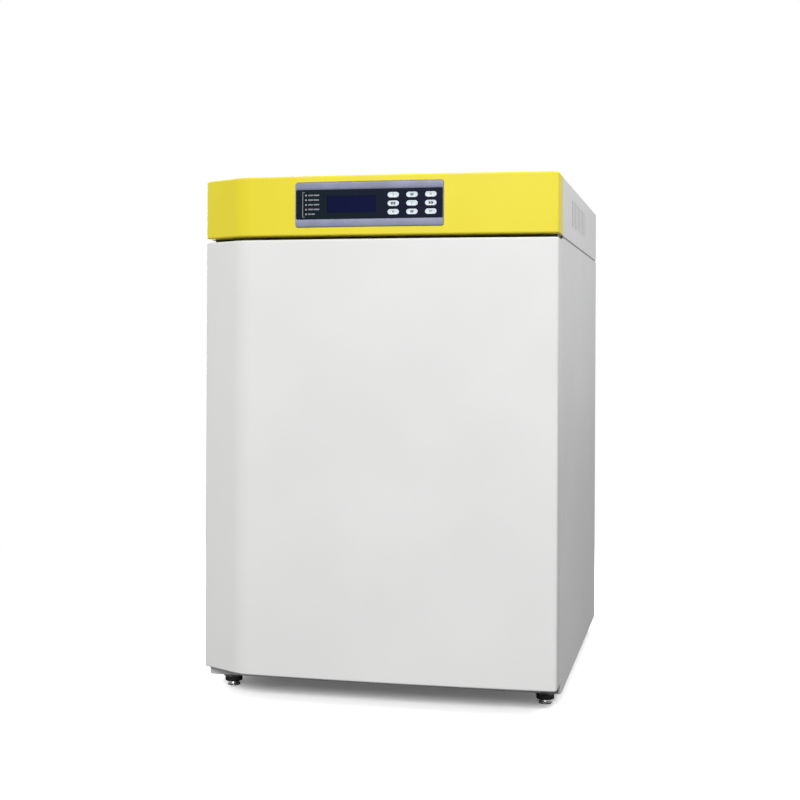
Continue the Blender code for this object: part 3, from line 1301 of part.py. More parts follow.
def glass_door_latch():
    """The knob with its tongue on the glass door, and the keeper on the frame that holds it."""
    half, bottom, top, front, back = glass_plan()
    knob_x, knob_z = -half + KNOB_INSET, (bottom + top) / 2
    base = front - SEAM
    grip = base - KNOB_HEIGHT
    nut = back + SEAM
    profile = [(0.0, grip), (KNOB_RADIUS - 2 * EASE, grip), (KNOB_RADIUS, grip + 2 * EASE),
               (KNOB_RADIUS - EASE, base - KNOB_SKIRT), (KNOB_RADIUS - 2 * EASE, base),
               (SPINDLE_RADIUS, base), (SPINDLE_RADIUS, nut), (SPINDLE_NUT_RADIUS, nut),
               (SPINDLE_NUT_RADIUS, back + SPINDLE_NUT_HEIGHT), (0.0, back + SPINDLE_NUT_HEIGHT)]
    body = stood(turned(profile, 24), (knob_x, 0.0, knob_z), "Y")
    tongue = block((knob_x - TONGUE_WIDTH / 2, base - TONGUE_THICKNESS, knob_z),
                   (knob_x + TONGUE_WIDTH / 2, base - HIDDEN_STEP,
                    knob_z + KNOB_INSET + TONGUE_REACH))
    piece("glass_door_knob", fused(body, tongue), "black plastic", origin=(knob_x, base, knob_z))

    catch = base - TONGUE_THICKNESS - KEEPER_CLEARANCE
    post_x = -half - KEEPER_REACH
    high = KEEPER_HEIGHT / 2
    post = block((post_x - KEEPER_WIDTH, catch - KEEPER_THICKNESS, knob_z - high),
                 (post_x, BODY_FRONT - SEAM, knob_z + high))
    lip_front = catch - KEEPER_THICKNESS + HIDDEN_STEP
    lip_high = high - 2 * HIDDEN_STEP
    lip = block((post_x - KEEPER_WIDTH / 2, lip_front, knob_z - lip_high),
                (post_x + KEEPER_LIP_REACH, catch, knob_z + lip_high))
    piece("glass_door_keeper", fused(post, lip), "stainless steel")


def access_port():
    """The access port's sleeve through the rear wall and its soft stopper."""
    flange = BODY_BACK + SEAM
    outer = flange + PORT_FLANGE
    rim = PORT_RADIUS + PORT_FLANGE_WIDTH
    sleeve = [(PORT_BORE, outer), (rim, outer), (rim, flange), (PORT_RADIUS, flange),
              (PORT_RADIUS, CHAMBER_BACK), (PORT_BORE, CHAMBER_BACK)]
    x, z = PORT_PLACE
    piece("access_port", stood(turned(sleeve, 28, closed=True), (x, 0.0, z), "Y"),
          "black plastic", smooth=True)

    seat = outer + SEAM
    head = seat + STOPPER_HEAD
    end = DEPTH / 2
    plug = PORT_BORE - SEAM
    knob = STOPPER_KNOB_RADIUS
    stopper = [(0.0, end), (knob - 2 * EASE, end), (knob, end - 2 * EASE), (knob, head),
               (PORT_RADIUS - EASE, head), (PORT_RADIUS, head - EASE), (PORT_RADIUS, seat),
               (plug, seat), (plug - STOPPER_TAPER, seat - STOPPER_LENGTH),
               (0.0, seat - STOPPER_LENGTH)]
    piece("access_port_stopper", stood(turned(stopper, 28), (x, 0.0, z), "Y"), "white silicone",
          origin=(x, seat, z), smooth=True)


def mains_module():
    """The mains inlet module on the rear of the head, with a rocker switch in it."""
    x, z = INLET_PLACE
    rear = BODY_BACK + SEAM
    face = rear + INLET_FLANGE
    outside = face + INLET_FLANGE
    body = prism([framed(INLET_PLACE, INLET_WIDTH, INLET_HEIGHT, 2 * EASE)],
                 BODY_BACK - INLET_DEPTH, face - EASE, "Y")
    flange = prism([framed(INLET_PLACE, INLET_WIDTH + 2 * INLET_FLANGE_WIDTH,
                           INLET_HEIGHT + 2 * INLET_FLANGE_WIDTH, 3 * EASE)], rear, face, "Y")
    socket_x = x + SOCKET_OFFSET
    socket = prism([framed((socket_x, z), SOCKET_WIDTH, SOCKET_HEIGHT, 3 * EASE)],
                   face - SOCKET_DEPTH, outside, "Y")
    switch_x = x + SWITCH_OFFSET
    opening = framed((switch_x, z), ROCKER_WIDTH + 2 * SEAM, ROCKER_HEIGHT + 2 * SWITCH_WELL_MARGIN,
                     EASE, 1)
    well = prism([opening], face - SWITCH_WELL_DEPTH, outside, "Y")
    width, height = BLADE_SIZE
    blades = [block((socket_x + u - width / 2, face - SOCKET_DEPTH - EASE, z + v - height / 2),
                    (socket_x + u + width / 2, face - BLADE_SINK, z + v + height / 2))
              for u, v in SOCKET_BLADES]
    module = fused(carved(fused(body, flange), socket, well), joined(*blades))
    piece("mains_inlet", module, "black plastic")

    pivot_y = face - ROCKER_SINK
    reach = ROCKER_HEIGHT / 2
    outline = [(-ROCKER_DEPTH, -reach), (ROCKER_PROUD, -reach), (ROCKER_PROUD - ROCKER_DIP, 0.0),
               (ROCKER_PROUD, reach), (-ROCKER_DEPTH, reach)]
    cosine = math.cos(ROCKER_TILT)
    sine = math.sin(ROCKER_TILT)
    tilted = [(y * cosine - v * sine + pivot_y, y * sine + v * cosine + z) for y, v in outline]
    rocker = prism([tilted], switch_x - ROCKER_WIDTH / 2, switch_x + ROCKER_WIDTH / 2, "X")
    piece("power_switch", rocker, "black plastic", origin=(switch_x, pivot_y, z))


def build():
    """Make every piece, from the floor up and from the outside in."""
    base_pan()
    levelling_feet()
    side_panels()
    back_panel()
    front_frame()
    chamber_liner()
    chamber_heater()
    insulation_jacket()
    electronics_deck()
    top_cover()
    fascia()
    control_panel()
    controller_board()
    power_supply()
    gas_system()
    circulation_fan()
    air_duct_cover()
    chamber_sensors()
    shelf_rack()
    shelves()
    humidity_pan()
    outer_door()
    door_hinge_brackets()
    glass_door()
    glass_door_hinge()
    glass_door_latch()
    access_port()
    mains_module()


build()
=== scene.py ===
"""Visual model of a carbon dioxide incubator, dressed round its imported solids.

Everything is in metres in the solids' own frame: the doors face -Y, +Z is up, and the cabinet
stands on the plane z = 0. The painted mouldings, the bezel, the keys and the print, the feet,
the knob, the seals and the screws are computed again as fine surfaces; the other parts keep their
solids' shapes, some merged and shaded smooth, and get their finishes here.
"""

from __future__ import annotations

import json
import logging
import math
from abc import ABC, abstractmethod
from dataclasses import dataclass, field
from enum import Enum
from functools import lru_cache, reduce
from operator import add
from typing import Callable, Iterable, Mapping, Sequence

import bmesh
import bpy
import numpy as np
from mathutils import Matrix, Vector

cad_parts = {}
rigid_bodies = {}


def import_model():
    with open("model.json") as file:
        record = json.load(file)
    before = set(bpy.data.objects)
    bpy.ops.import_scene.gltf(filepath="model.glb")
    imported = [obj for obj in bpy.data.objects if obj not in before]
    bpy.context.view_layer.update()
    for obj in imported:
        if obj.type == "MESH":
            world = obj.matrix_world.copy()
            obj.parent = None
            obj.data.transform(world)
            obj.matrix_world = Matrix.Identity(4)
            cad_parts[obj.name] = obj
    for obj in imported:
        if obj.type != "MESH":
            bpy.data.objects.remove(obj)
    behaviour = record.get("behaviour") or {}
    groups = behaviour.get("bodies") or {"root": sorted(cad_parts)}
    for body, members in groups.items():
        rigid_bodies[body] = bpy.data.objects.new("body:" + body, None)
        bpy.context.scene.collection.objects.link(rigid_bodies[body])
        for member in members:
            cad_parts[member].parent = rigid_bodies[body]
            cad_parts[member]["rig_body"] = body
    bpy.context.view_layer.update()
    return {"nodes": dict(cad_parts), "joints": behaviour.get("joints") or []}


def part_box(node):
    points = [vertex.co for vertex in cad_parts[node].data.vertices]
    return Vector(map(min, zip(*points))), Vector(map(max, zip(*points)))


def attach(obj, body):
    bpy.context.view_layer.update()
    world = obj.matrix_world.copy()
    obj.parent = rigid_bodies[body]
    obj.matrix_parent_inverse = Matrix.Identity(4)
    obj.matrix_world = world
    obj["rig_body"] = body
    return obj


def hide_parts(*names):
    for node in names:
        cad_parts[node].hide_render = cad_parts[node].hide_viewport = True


LOG = logging.getLogger("incubator")
Colour = tuple[float, float, float]
Place = tuple[float, float]
Corner = tuple[float, float, float]
Swell = Callable[[np.ndarray, np.ndarray], np.ndarray]

SHEET = 0.0015  # the wall of the folded fronts
SEAM = 0.0003  # the gap where two parts meet
MERGE = 1e-6  # points closer than this are one point
DRIFT = (0.3, 0.7)  # the stretch of a noise over which a tone changes
WHITE = (1.0, 1.0, 1.0, 1.0)


def empty_scene() -> None:
    """Take away whatever the start-up file holds."""
    for thing in list(bpy.data.objects):
        bpy.data.objects.remove(thing)


empty_scene()
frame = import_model()


# ---------------------------------------------------------------- node graphs


class Axis(Enum):
    """An axis of the model, by the name of its socket."""

    X = "X"
    Y = "Y"
    Z = "Z"


class Value:
    """A node's socket whose arithmetic adds Math nodes."""

    def __init__(self, graph: Graph, socket: bpy.types.NodeSocket) -> None:
        """Keep the graph that the socket belongs to."""
        self.graph = graph
        self.socket = socket

    def __add__(self, other: Value | float) -> Value:
        """This value plus the other."""
        return self.graph.maths("ADD", self, other)

    def __sub__(self, other: Value | float) -> Value:
        """This value less the other."""
        return self.graph.maths("SUBTRACT", self, other)

    def __rsub__(self, other: float) -> Value:
        """A number less this value."""
        return self.graph.maths("SUBTRACT", other, self)

    def __mul__(self, other: Value | float) -> Value:
        """This value times the other."""
        return self.graph.maths("MULTIPLY", self, other)

    def __truediv__(self, other: Value | float) -> Value:
        """This value over the other."""
        return self.graph.maths("DIVIDE", self, other)

    def __pow__(self, other: Value | float) -> Value:
        """This value to a power."""
        return self.graph.maths("POWER", self, other)

    def __gt__(self, other: Value | float) -> Value:
        """1 where this value is the larger, 0 elsewhere."""
        return self.graph.maths("GREATER_THAN", self, other)

    def __lt__(self, other: Value | float) -> Value:
        """1 where this value is the smaller, 0 elsewhere."""
        return self.graph.maths("LESS_THAN", self, other)

    def __abs__(self) -> Value:
        """The size of this value."""
        return self.graph.maths("ABSOLUTE", self)

    __radd__ = __add__
    __rmul__ = __mul__

    def larger(self, other: Value | float) -> Value:
        """The larger of this value and the other."""
        return self.graph.maths("MAXIMUM", self, other)

    def ramped(self, low: float, high: float) -> Value:
        """0 below low and 1 above high, eased between them."""
        return self.graph.node("ShaderNodeMapRange", {"interpolation_type": "SMOOTHSTEP"},
                               {"Value": self, "From Min": low, "From Max": high})


class Graph:
    """The node tree of one material or of the world."""

    def __init__(self, tree: bpy.types.NodeTree) -> None:
        """Start from an empty tree."""
        self.tree = tree
        tree.nodes.clear()

    def node(self, kind: str, settings: Mapping[str, object] | None = None,
             sockets: Mapping[str | int, object] | None = None, output: str | int = 0) -> Value:
        """Add one node.

        Args:
            kind: The node's type.
            settings: Its settings, which are set first.
            sockets: Numbers, colours, vectors or values for its input sockets.
            output: The output that is returned.

        Returns:
            The chosen output as a value.
        """
        made = self.tree.nodes.new(kind)
        for key, setting in (settings or {}).items():
            setattr(made, key, setting)
        for key, given in (sockets or {}).items():
            if isinstance(given, Value):
                self.tree.links.new(given.socket, made.inputs[key])
            else:
                made.inputs[key].default_value = given
        return Value(self, made.outputs[output])

    def maths(self, operation: str, *terms: Value | float) -> Value:
        """One Math node on up to three terms."""
        return self.node("ShaderNodeMath", {"operation": operation}, dict(enumerate(terms)))

    def place(self, scale: Sequence[float] = (1.0, 1.0, 1.0),
              turn: Sequence[float] = (0.0, 0.0, 0.0)) -> Value:
        """The object coordinates, scaled and turned.

        Args:
            scale: Factors along x, y and z.
            turn: Turns about x, y and z, in radians.

        Returns:
            The coordinates as a vector value.
        """
        spot = self.node("ShaderNodeTexCoord", output="Object")
        return self.node("ShaderNodeMapping", sockets={"Vector": spot, "Scale": tuple(scale),
                                                       "Rotation": tuple(turn)})

    def along(self, axis: Axis) -> Value:
        """One object coordinate."""
        spot = self.node("ShaderNodeTexCoord", output="Object")
        return self.node("ShaderNodeSeparateXYZ", sockets={"Vector": spot},
                         output=axis.value)

    def noise(self, scale: float, detail: float = 2.0, rough: float = 0.5,
              at: Value | None = None) -> Value:
        """Smooth noise from about 0 to 1.

        Args:
            scale: Cells per metre.
            detail: Octaves.
            rough: The share that each octave keeps.
            at: Coordinates other than the plain ones.

        Returns:
            The noise as a value.
        """
        return self.node("ShaderNodeTexNoise", sockets={
            "Vector": at or self.place(), "Scale": scale, "Detail": detail, "Roughness": rough})

    def cells(self, scale: float, feature: str = "F1", scatter: float = 1.0,
              at: Value | None = None) -> Value:
        """The distance to the nearest of scattered points.

        Args:
            scale: Cells per metre.
            feature: The kind of distance.
            scatter: How far the points leave an even grid, up to 1.
            at: Coordinates other than the plain ones.

        Returns:
            The distance in cells, as a value.
        """
        return self.node("ShaderNodeTexVoronoi", {"feature": feature}, {
            "Vector": at or self.place(), "Scale": scale, "Randomness": scatter}, "Distance")

    def mixed(self, share: Value | float, first: object, second: object) -> Value:
        """A blend of two colours.

        Args:
            share: 0 for the first colour, 1 for the second.
            first: A colour or a value.
            second: A colour or a value.

        Returns:
            The blend as a value.
        """
        ends = [end if isinstance(end, Value) else (*end, 1.0) for end in (first, second)]
        return self.node("ShaderNodeMix", {"data_type": "RGBA"}, {0: share, 6: ends[0], 7: ends[1]},
                         2)

    def drifting(self, pattern: Value, share: float, colour: Colour) -> Value:
        """A colour that drifts with a noise between itself and a share of itself."""
        return self.mixed(pattern.ramped(*DRIFT), shaded(colour, share), colour)

    def seen_plainly(self) -> Value:
        """1 for rays from the camera, straight or through glass, 0 for light on surfaces."""
        camera = self.node("ShaderNodeLightPath", output="Is Camera Ray")
        return camera.larger(self.node("ShaderNodeLightPath", output="Is Transmission Ray"))

    def surface(self, sockets: dict[str, object], height: Value | None = None,
                depth: float = 0.0001) -> None:
        """Close the graph with a Principled shader.

        Args:
            sockets: What its sockets get.
            height: Relief from 0 to 1, or nothing.
            depth: What a relief of 1 stands for, in metres.
        """
        if height is not None:
            sockets["Normal"] = self.node("ShaderNodeBump", sockets={
                "Strength": 1.0, "Distance": depth, "Height": height})
        self.output("ShaderNodeOutputMaterial",
                    self.node("ShaderNodeBsdfPrincipled", sockets=sockets))

    def output(self, kind: str, shader: Value) -> None:
        """Link a shader to the tree's output node."""
        made = self.tree.nodes.new(kind)
        self.tree.links.new(shader.socket, made.inputs["Surface"])


def shaded(colour: Colour, share: float) -> Colour:
    """A colour with each of its numbers times a share."""
    return tuple(share * number for number in colour)


# ------------------------------------------------------------------- finishes


class Finish(ABC):
    """A surface finish, which grows its own node graph."""

    def material(self, name: str) -> bpy.types.Material:
        """Make the finish's material.

        Args:
            name: The material's name.

        Returns:
            The material, its graph grown.
        """
        made = bpy.data.materials.new(name)
        made.use_nodes = True
        self.grow(Graph(made.node_tree))
        return made

    @abstractmethod
    def grow(self, graph: Graph) -> None:
        """Fill the material's empty graph."""


@dataclass(frozen=True)
class PowderCoat(Finish):
    """Baked powder paint: a fine orange peel, faint clouding and handling marks in its gloss."""

    colour: Colour
    roughness: float = 0.42
    peel: float = 420.0
    peel_depth: float = 0.00003
    speckle: float = 0.0

    def grow(self, graph: Graph) -> None:
        """Noise at three scales makes peel, clouding and gloss.

        Args:
            graph: The material's empty graph.
        """
        peel, grain = graph.noise(self.peel), graph.noise(self.peel * 5.0)
        colour = graph.drifting(graph.noise(5.0, 3.0), 0.965, self.colour)
        if self.speckle:
            specks = (grain > 0.62) * self.speckle
            colour = graph.mixed(specks, colour, shaded(self.colour, 0.86))
        smear = graph.noise(9.0, 4.0, 0.6) * 0.10
        graph.surface({"Base Color": colour, "Roughness": smear + (self.roughness - 0.05),
                       "Specular IOR Level": 0.35}, peel * 0.7 + grain * 0.3, self.peel_depth)


@dataclass(frozen=True)
class Enamel(Finish):
    """Satin enamel under a thin clear coat, with long soft waves and a little dust in it."""

    colour: Colour
    roughness: float = 0.40
    coat: float = 0.06
    depth: float = 0.00003

    def grow(self, graph: Graph) -> None:
        """A slow wave and a fine peel make the relief, and clouding the colour.

        Args:
            graph: The material's empty graph.
        """
        red, green, blue = self.colour
        cloud = graph.noise(4.0, 3.0).ramped(*DRIFT)
        colour = graph.mixed(cloud, (0.95 * red, 0.93 * green, 0.88 * blue), self.colour)
        wave, peel = graph.noise(60.0), graph.noise(420.0)
        gloss = graph.noise(14.0, 4.0, 0.6) * 0.12 + (self.roughness - 0.06)
        graph.surface({"Base Color": colour, "Roughness": gloss, "Coat Weight": self.coat,
                       "Coat Roughness": 0.12, "Specular IOR Level": 0.18},
                      wave * 0.6 + peel * 0.4, self.depth)


@dataclass(frozen=True)
class BrushedMetal(Finish):
    """Metal with fine parallel scratches along one axis and a few stray ones across them."""

    colour: Colour
    along: Axis = Axis.X
    roughness: float = 0.30
    depth: float = 0.000004
    fine: float = 1500.0
    long: float = 12.0

    def grow(self, graph: Graph) -> None:
        """Noise drawn out a hundredfold along the brushing, over wider bands and a cloud.

        Args:
            graph: The material's empty graph.
        """
        stretch = tuple(self.long if axis is self.along else self.fine for axis in Axis)
        scratch = graph.noise(1.0, 3.0, 0.6, graph.place(stretch))
        band = graph.noise(1.0, 2.0, 0.5, graph.place(tuple(s * 0.12 for s in stretch)))
        cloud = graph.noise(7.0, 3.0)
        colour = graph.drifting(scratch * 0.6 + band * 0.2 + cloud * 0.2, 0.92, self.colour)
        gloss = band * 0.06 + cloud * 0.05 + (self.roughness - 0.055)
        graph.surface({"Base Color": colour, "Metallic": 1.0, "Roughness": gloss}, scratch,
                      self.depth)


@dataclass(frozen=True)
class PlatedMetal(Finish):
    """Zinc or nickel plate: faint crystal spangle, a cloudy tone and small blemishes."""

    colour: Colour
    roughness: float = 0.36
    spangle: float = 90.0
    depth: float = 0.000012

    def grow(self, graph: Graph) -> None:
        """Cells of slightly different tone lie under a cloud.

        Args:
            graph: The material's empty graph.
        """
        cell = graph.cells(self.spangle)
        cloud = graph.noise(18.0, 4.0, 0.6)
        pit = graph.noise(900.0)
        tone = (cell * 0.45 + cloud * 0.55).ramped(0.25, 0.65)
        graph.surface({"Base Color": graph.mixed(tone, shaded(self.colour, 0.80), self.colour),
                       "Metallic": 1.0, "Roughness": cloud * 0.16 + (self.roughness - 0.08)},
                      pit * 0.6 + cell * 0.4, self.depth)


@dataclass(frozen=True)
class MouldedPlastic(Finish):
    """Moulded plastic or rubber with a spark-eroded grain and a faint sheen of handling."""

    colour: Colour
    roughness: float = 0.45
    grain: float = 1400.0
    grain_depth: float = 0.00003
    lift: float = 0.10
    metallic: float = 0.0

    def grow(self, graph: Graph) -> None:
        """Cells and noise make the grain, and the gloss is rubbed up in patches.

        Args:
            graph: The material's empty graph.
        """
        cell = graph.cells(self.grain, "SMOOTH_F1")
        fine = graph.noise(self.grain * 0.5)
        rubbed = graph.noise(40.0, 3.0, 0.6)
        graph.surface({"Base Color": graph.drifting(rubbed, 1.0 - self.lift, self.colour),
                       "Roughness": rubbed * -0.12 + (self.roughness + 0.06),
                       "Metallic": self.metallic}, cell * 0.5 + fine * 0.5, self.grain_depth)


@dataclass(frozen=True)
class TwoTone(Finish):
    """Two materials that meet at a height, such as a sensor's filter and its body."""

    below: Colour
    above: Colour
    level: float
    roughness_below: float = 0.7
    roughness_above: float = 0.4
    depth: float = 0.00005

    def grow(self, graph: Graph) -> None:
        """Colour, gloss and relief change where z passes the level.

        Args:
            graph: The material's empty graph.
        """
        over = graph.along(Axis.Z) > self.level
        sinter = graph.noise(2600.0)
        below = graph.mixed(sinter.ramped(0.35, 0.65), shaded(self.below, 0.88), self.below)
        wear = graph.noise(70.0, 3.0, 0.6)
        gloss = over * (self.roughness_above - self.roughness_below) + wear * 0.08
        graph.surface({"Base Color": graph.mixed(over, below, self.above),
                       "Roughness": gloss + (self.roughness_below - 0.04)},
                      sinter * (1.0 - over), self.depth)


@dataclass(frozen=True)
class ClearGlass(Finish):
    """A polished pane: clear from the front, greener and denser at its edges and at a slant."""

    half: float
    low: float
    high: float
    rim: float = 0.0007
    pane: Colour = (0.70, 0.82, 0.78)
    edge: Colour = (0.16, 0.42, 0.34)

    def grow(self, graph: Graph) -> None:
        """The cover grows towards the pane's edges and at a grazing view.

        Args:
            graph: The material's empty graph.
        """
        side = abs(graph.along(Axis.X)) > self.half - self.rim
        middle = (self.low + self.high) / 2
        end = abs(graph.along(Axis.Z) - middle) > (self.high - self.low) / 2 - self.rim
        edge = side.larger(end)
        slant = graph.node("ShaderNodeLayerWeight", sockets={"Blend": 0.35}, output="Facing")
        wiped = graph.noise(11.0, 4.0, 0.6)
        cover = slant ** 3.0 * 0.45 + wiped * 0.03 + 0.075
        graph.surface({"Base Color": graph.mixed(edge, self.pane, self.edge),
                       "Roughness": wiped * 0.06 + 0.02, "Alpha": cover + edge * 0.60,
                       "IOR": 1.5, "Specular IOR Level": 0.8})


@dataclass(frozen=True)
class WindowFilm(Finish):
    """The dark window: printed on the back of a clear sheet, bluer towards its right end."""

    left: float
    right: float
    left_ink: Colour = (0.0045, 0.0130, 0.0190)
    right_ink: Colour = (0.0045, 0.0070, 0.0260)
    deep_ink: Colour = (0.003, 0.005, 0.010)

    def grow(self, graph: Graph) -> None:
        """A slow change along x under a fine mottle and a tiny relief.

        Args:
            graph: The material's empty graph.
        """
        run = graph.along(Axis.X).ramped(self.left, self.right)
        mottle = graph.noise(60.0, 3.0)
        base = graph.mixed(run, self.left_ink, self.right_ink)
        colour = graph.mixed(mottle.ramped(0.35, 0.75) * 0.35, base, self.deep_ink)
        graph.surface({"Base Color": colour, "Roughness": mottle * 0.10 + 0.20,
                       "Specular IOR Level": 0.08}, graph.noise(1800.0), 0.000006)


@dataclass(frozen=True)
class DisplayGlass(Finish):
    """A blank liquid crystal display: dark blue, with rows of cells just to be seen."""

    pitch: float = 0.0011
    gap: float = 0.14
    dim: Colour = (0.0020, 0.0040, 0.0330)
    lit: Colour = (0.0030, 0.0055, 0.0420)
    cell: Colour = (0.0050, 0.0085, 0.0520)

    def grow(self, graph: Graph) -> None:
        """Two saw waves make a grid of cells, a shade lighter than its gaps.

        Args:
            graph: The material's empty graph.
        """
        column = graph.maths("FRACT", graph.along(Axis.X) / self.pitch) > self.gap
        row = graph.maths("FRACT", graph.along(Axis.Z) / (self.pitch * 1.2)) > self.gap
        cells = column * row
        glow = graph.noise(30.0)
        base = graph.mixed(glow.ramped(*DRIFT), self.dim, self.lit)
        graph.surface({"Base Color": graph.mixed(cells * 0.5, base, self.cell),
                       "Roughness": 0.22 - glow * 0.06, "Specular IOR Level": 0.06},
                      cells, 0.000004)


@dataclass(frozen=True)
class CircuitBoard(Finish):
    """Green solder mask over copper tracks, with tinned pads and the tips of parts above it."""

    axis: Axis
    parts_from: float
    tip: Colour
    mask: Colour = (0.012, 0.150, 0.050)
    copper: Colour = (0.022, 0.260, 0.085)
    solder: Colour = (0.62, 0.62, 0.58)

    def grow(self, graph: Graph) -> None:
        """A brick net makes the tracks, small cells the pads, and a level the tips of parts.

        Args:
            graph: The material's empty graph.
        """
        upright = self.axis is Axis.Y
        spot = graph.place(turn=(math.pi / 2 if upright else 0.0, 0.0, 0.0))
        track = graph.node("ShaderNodeTexBrick", {"offset": 0.35, "squash": 1.6}, {
            "Vector": spot, "Color1": (0, 0, 0, 1), "Color2": (0, 0, 0, 1), "Mortar": WHITE,
            "Scale": 90.0, "Mortar Size": 0.045, "Mortar Smooth": 0.0}, "Fac")
        pad = graph.cells(160.0, scatter=0.35, at=spot) < 0.16
        board = graph.mixed(pad, graph.mixed(track, self.mask, self.copper), self.solder)
        height = graph.along(self.axis)
        part = height < self.parts_from if upright else height > self.parts_from
        graph.surface({"Base Color": graph.mixed(part, board, self.tip),
                       "Metallic": pad * (1.0 - part), "Roughness": part * 0.15 + 0.35},
                      track * 0.5 + pad * 0.5, 0.00003)


@dataclass(frozen=True)
class MineralWool(Finish):
    """Pressed mineral wool: tangled fibres, lighter and darker tufts."""

    colour: Colour
    fine: float = 900.0
    long: float = 60.0

    def grow(self, graph: Graph) -> None:
        """Fibres of drawn-out noise cross two ways over tufts.

        Args:
            graph: The material's empty graph.
        """
        one = graph.noise(1.0, 4.0, 0.6, graph.place((self.long, self.long, self.fine)))
        other = graph.noise(1.0, 4.0, 0.6, graph.place((self.fine, self.long, self.long),
                                                       (0.0, 0.5, 0.3)))
        tuft = graph.noise(35.0, 4.0, 0.6)
        tone = (one * 0.35 + other * 0.35 + tuft * 0.3).ramped(0.3, 0.65)
        graph.surface({"Base Color": graph.mixed(tone, shaded(self.colour, 0.62), self.colour),
                       "Roughness": 0.95}, one * 0.4 + other * 0.4 + tuft * 0.2, 0.002)


@dataclass(frozen=True)
class HeaterFoil(Finish):
    """Amber film with the heating track showing through as even darker bands."""

    pitch: float = 0.008
    thin: Colour = (0.42, 0.20, 0.03)
    thick: Colour = (0.58, 0.30, 0.05)
    metal: Colour = (0.30, 0.26, 0.22)

    def grow(self, graph: Graph) -> None:
        """Bands of track run along y, at an even pitch round the chamber.

        Args:
            graph: The material's empty graph.
        """
        bands = [graph.maths("FRACT", graph.along(axis) / self.pitch) > 0.45
                 for axis in (Axis.X, Axis.Z)]
        track = bands[0] * bands[1]
        film = graph.noise(25.0, 3.0)
        colour = graph.mixed(film.ramped(*DRIFT), self.thin, self.thick)
        graph.surface({"Base Color": graph.mixed(track * 0.6, colour, self.metal),
                       "Metallic": track * 0.5, "Roughness": film * 0.10 + 0.28},
                      track * 0.7 + film * 0.3, 0.00005)


@dataclass(frozen=True)
class PlainInk(Finish):
    """Thick screen-printed ink with a slightly uneven edge and film."""

    colour: Colour

    def grow(self, graph: Graph) -> None:
        """A mottled film lies over a fine relief.

        Args:
            graph: The material's empty graph.
        """
        film = graph.noise(900.0, 3.0)
        graph.surface({"Base Color": graph.drifting(film, 0.80, self.colour),
                       "Roughness": film * 0.15 + 0.45}, film, 0.000008)


@dataclass(frozen=True)
class PaleFloor(Finish):
    """A matt floor, lifted to white for the camera and plain white far from the cabinet."""

    bounce: float = 0.15
    shown: float = 1.75
    lift: float = 0.10
    near: float = 0.9
    far: float = 1.8

    def grow(self, graph: Graph) -> None:
        """A matt shader with a faint glow gives way to plain white between two radii.

        Args:
            graph: The material's empty graph.
        """
        x, y = graph.along(Axis.X), graph.along(Axis.Y)
        away = graph.maths("SQRT", x * x + y * y).ramped(self.near, self.far)
        seen = graph.seen_plainly()
        matt = graph.node("ShaderNodeBsdfDiffuse", sockets={
            "Color": graph.mixed(seen, (self.bounce,) * 3, (self.shown,) * 3)})
        glow, white = (graph.node("ShaderNodeEmission", sockets={"Color": WHITE, "Strength": level})
                       for level in (seen * self.lift, 1.0))
        close = graph.node("ShaderNodeAddShader", sockets={0: matt, 1: glow})
        graph.output("ShaderNodeOutputMaterial", graph.node(
            "ShaderNodeMixShader", sockets={0: away * seen, 1: close, 2: white}))


PANE_LOW, PANE_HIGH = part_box("glass_door")
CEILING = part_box("chamber_liner")[1].z - 0.022


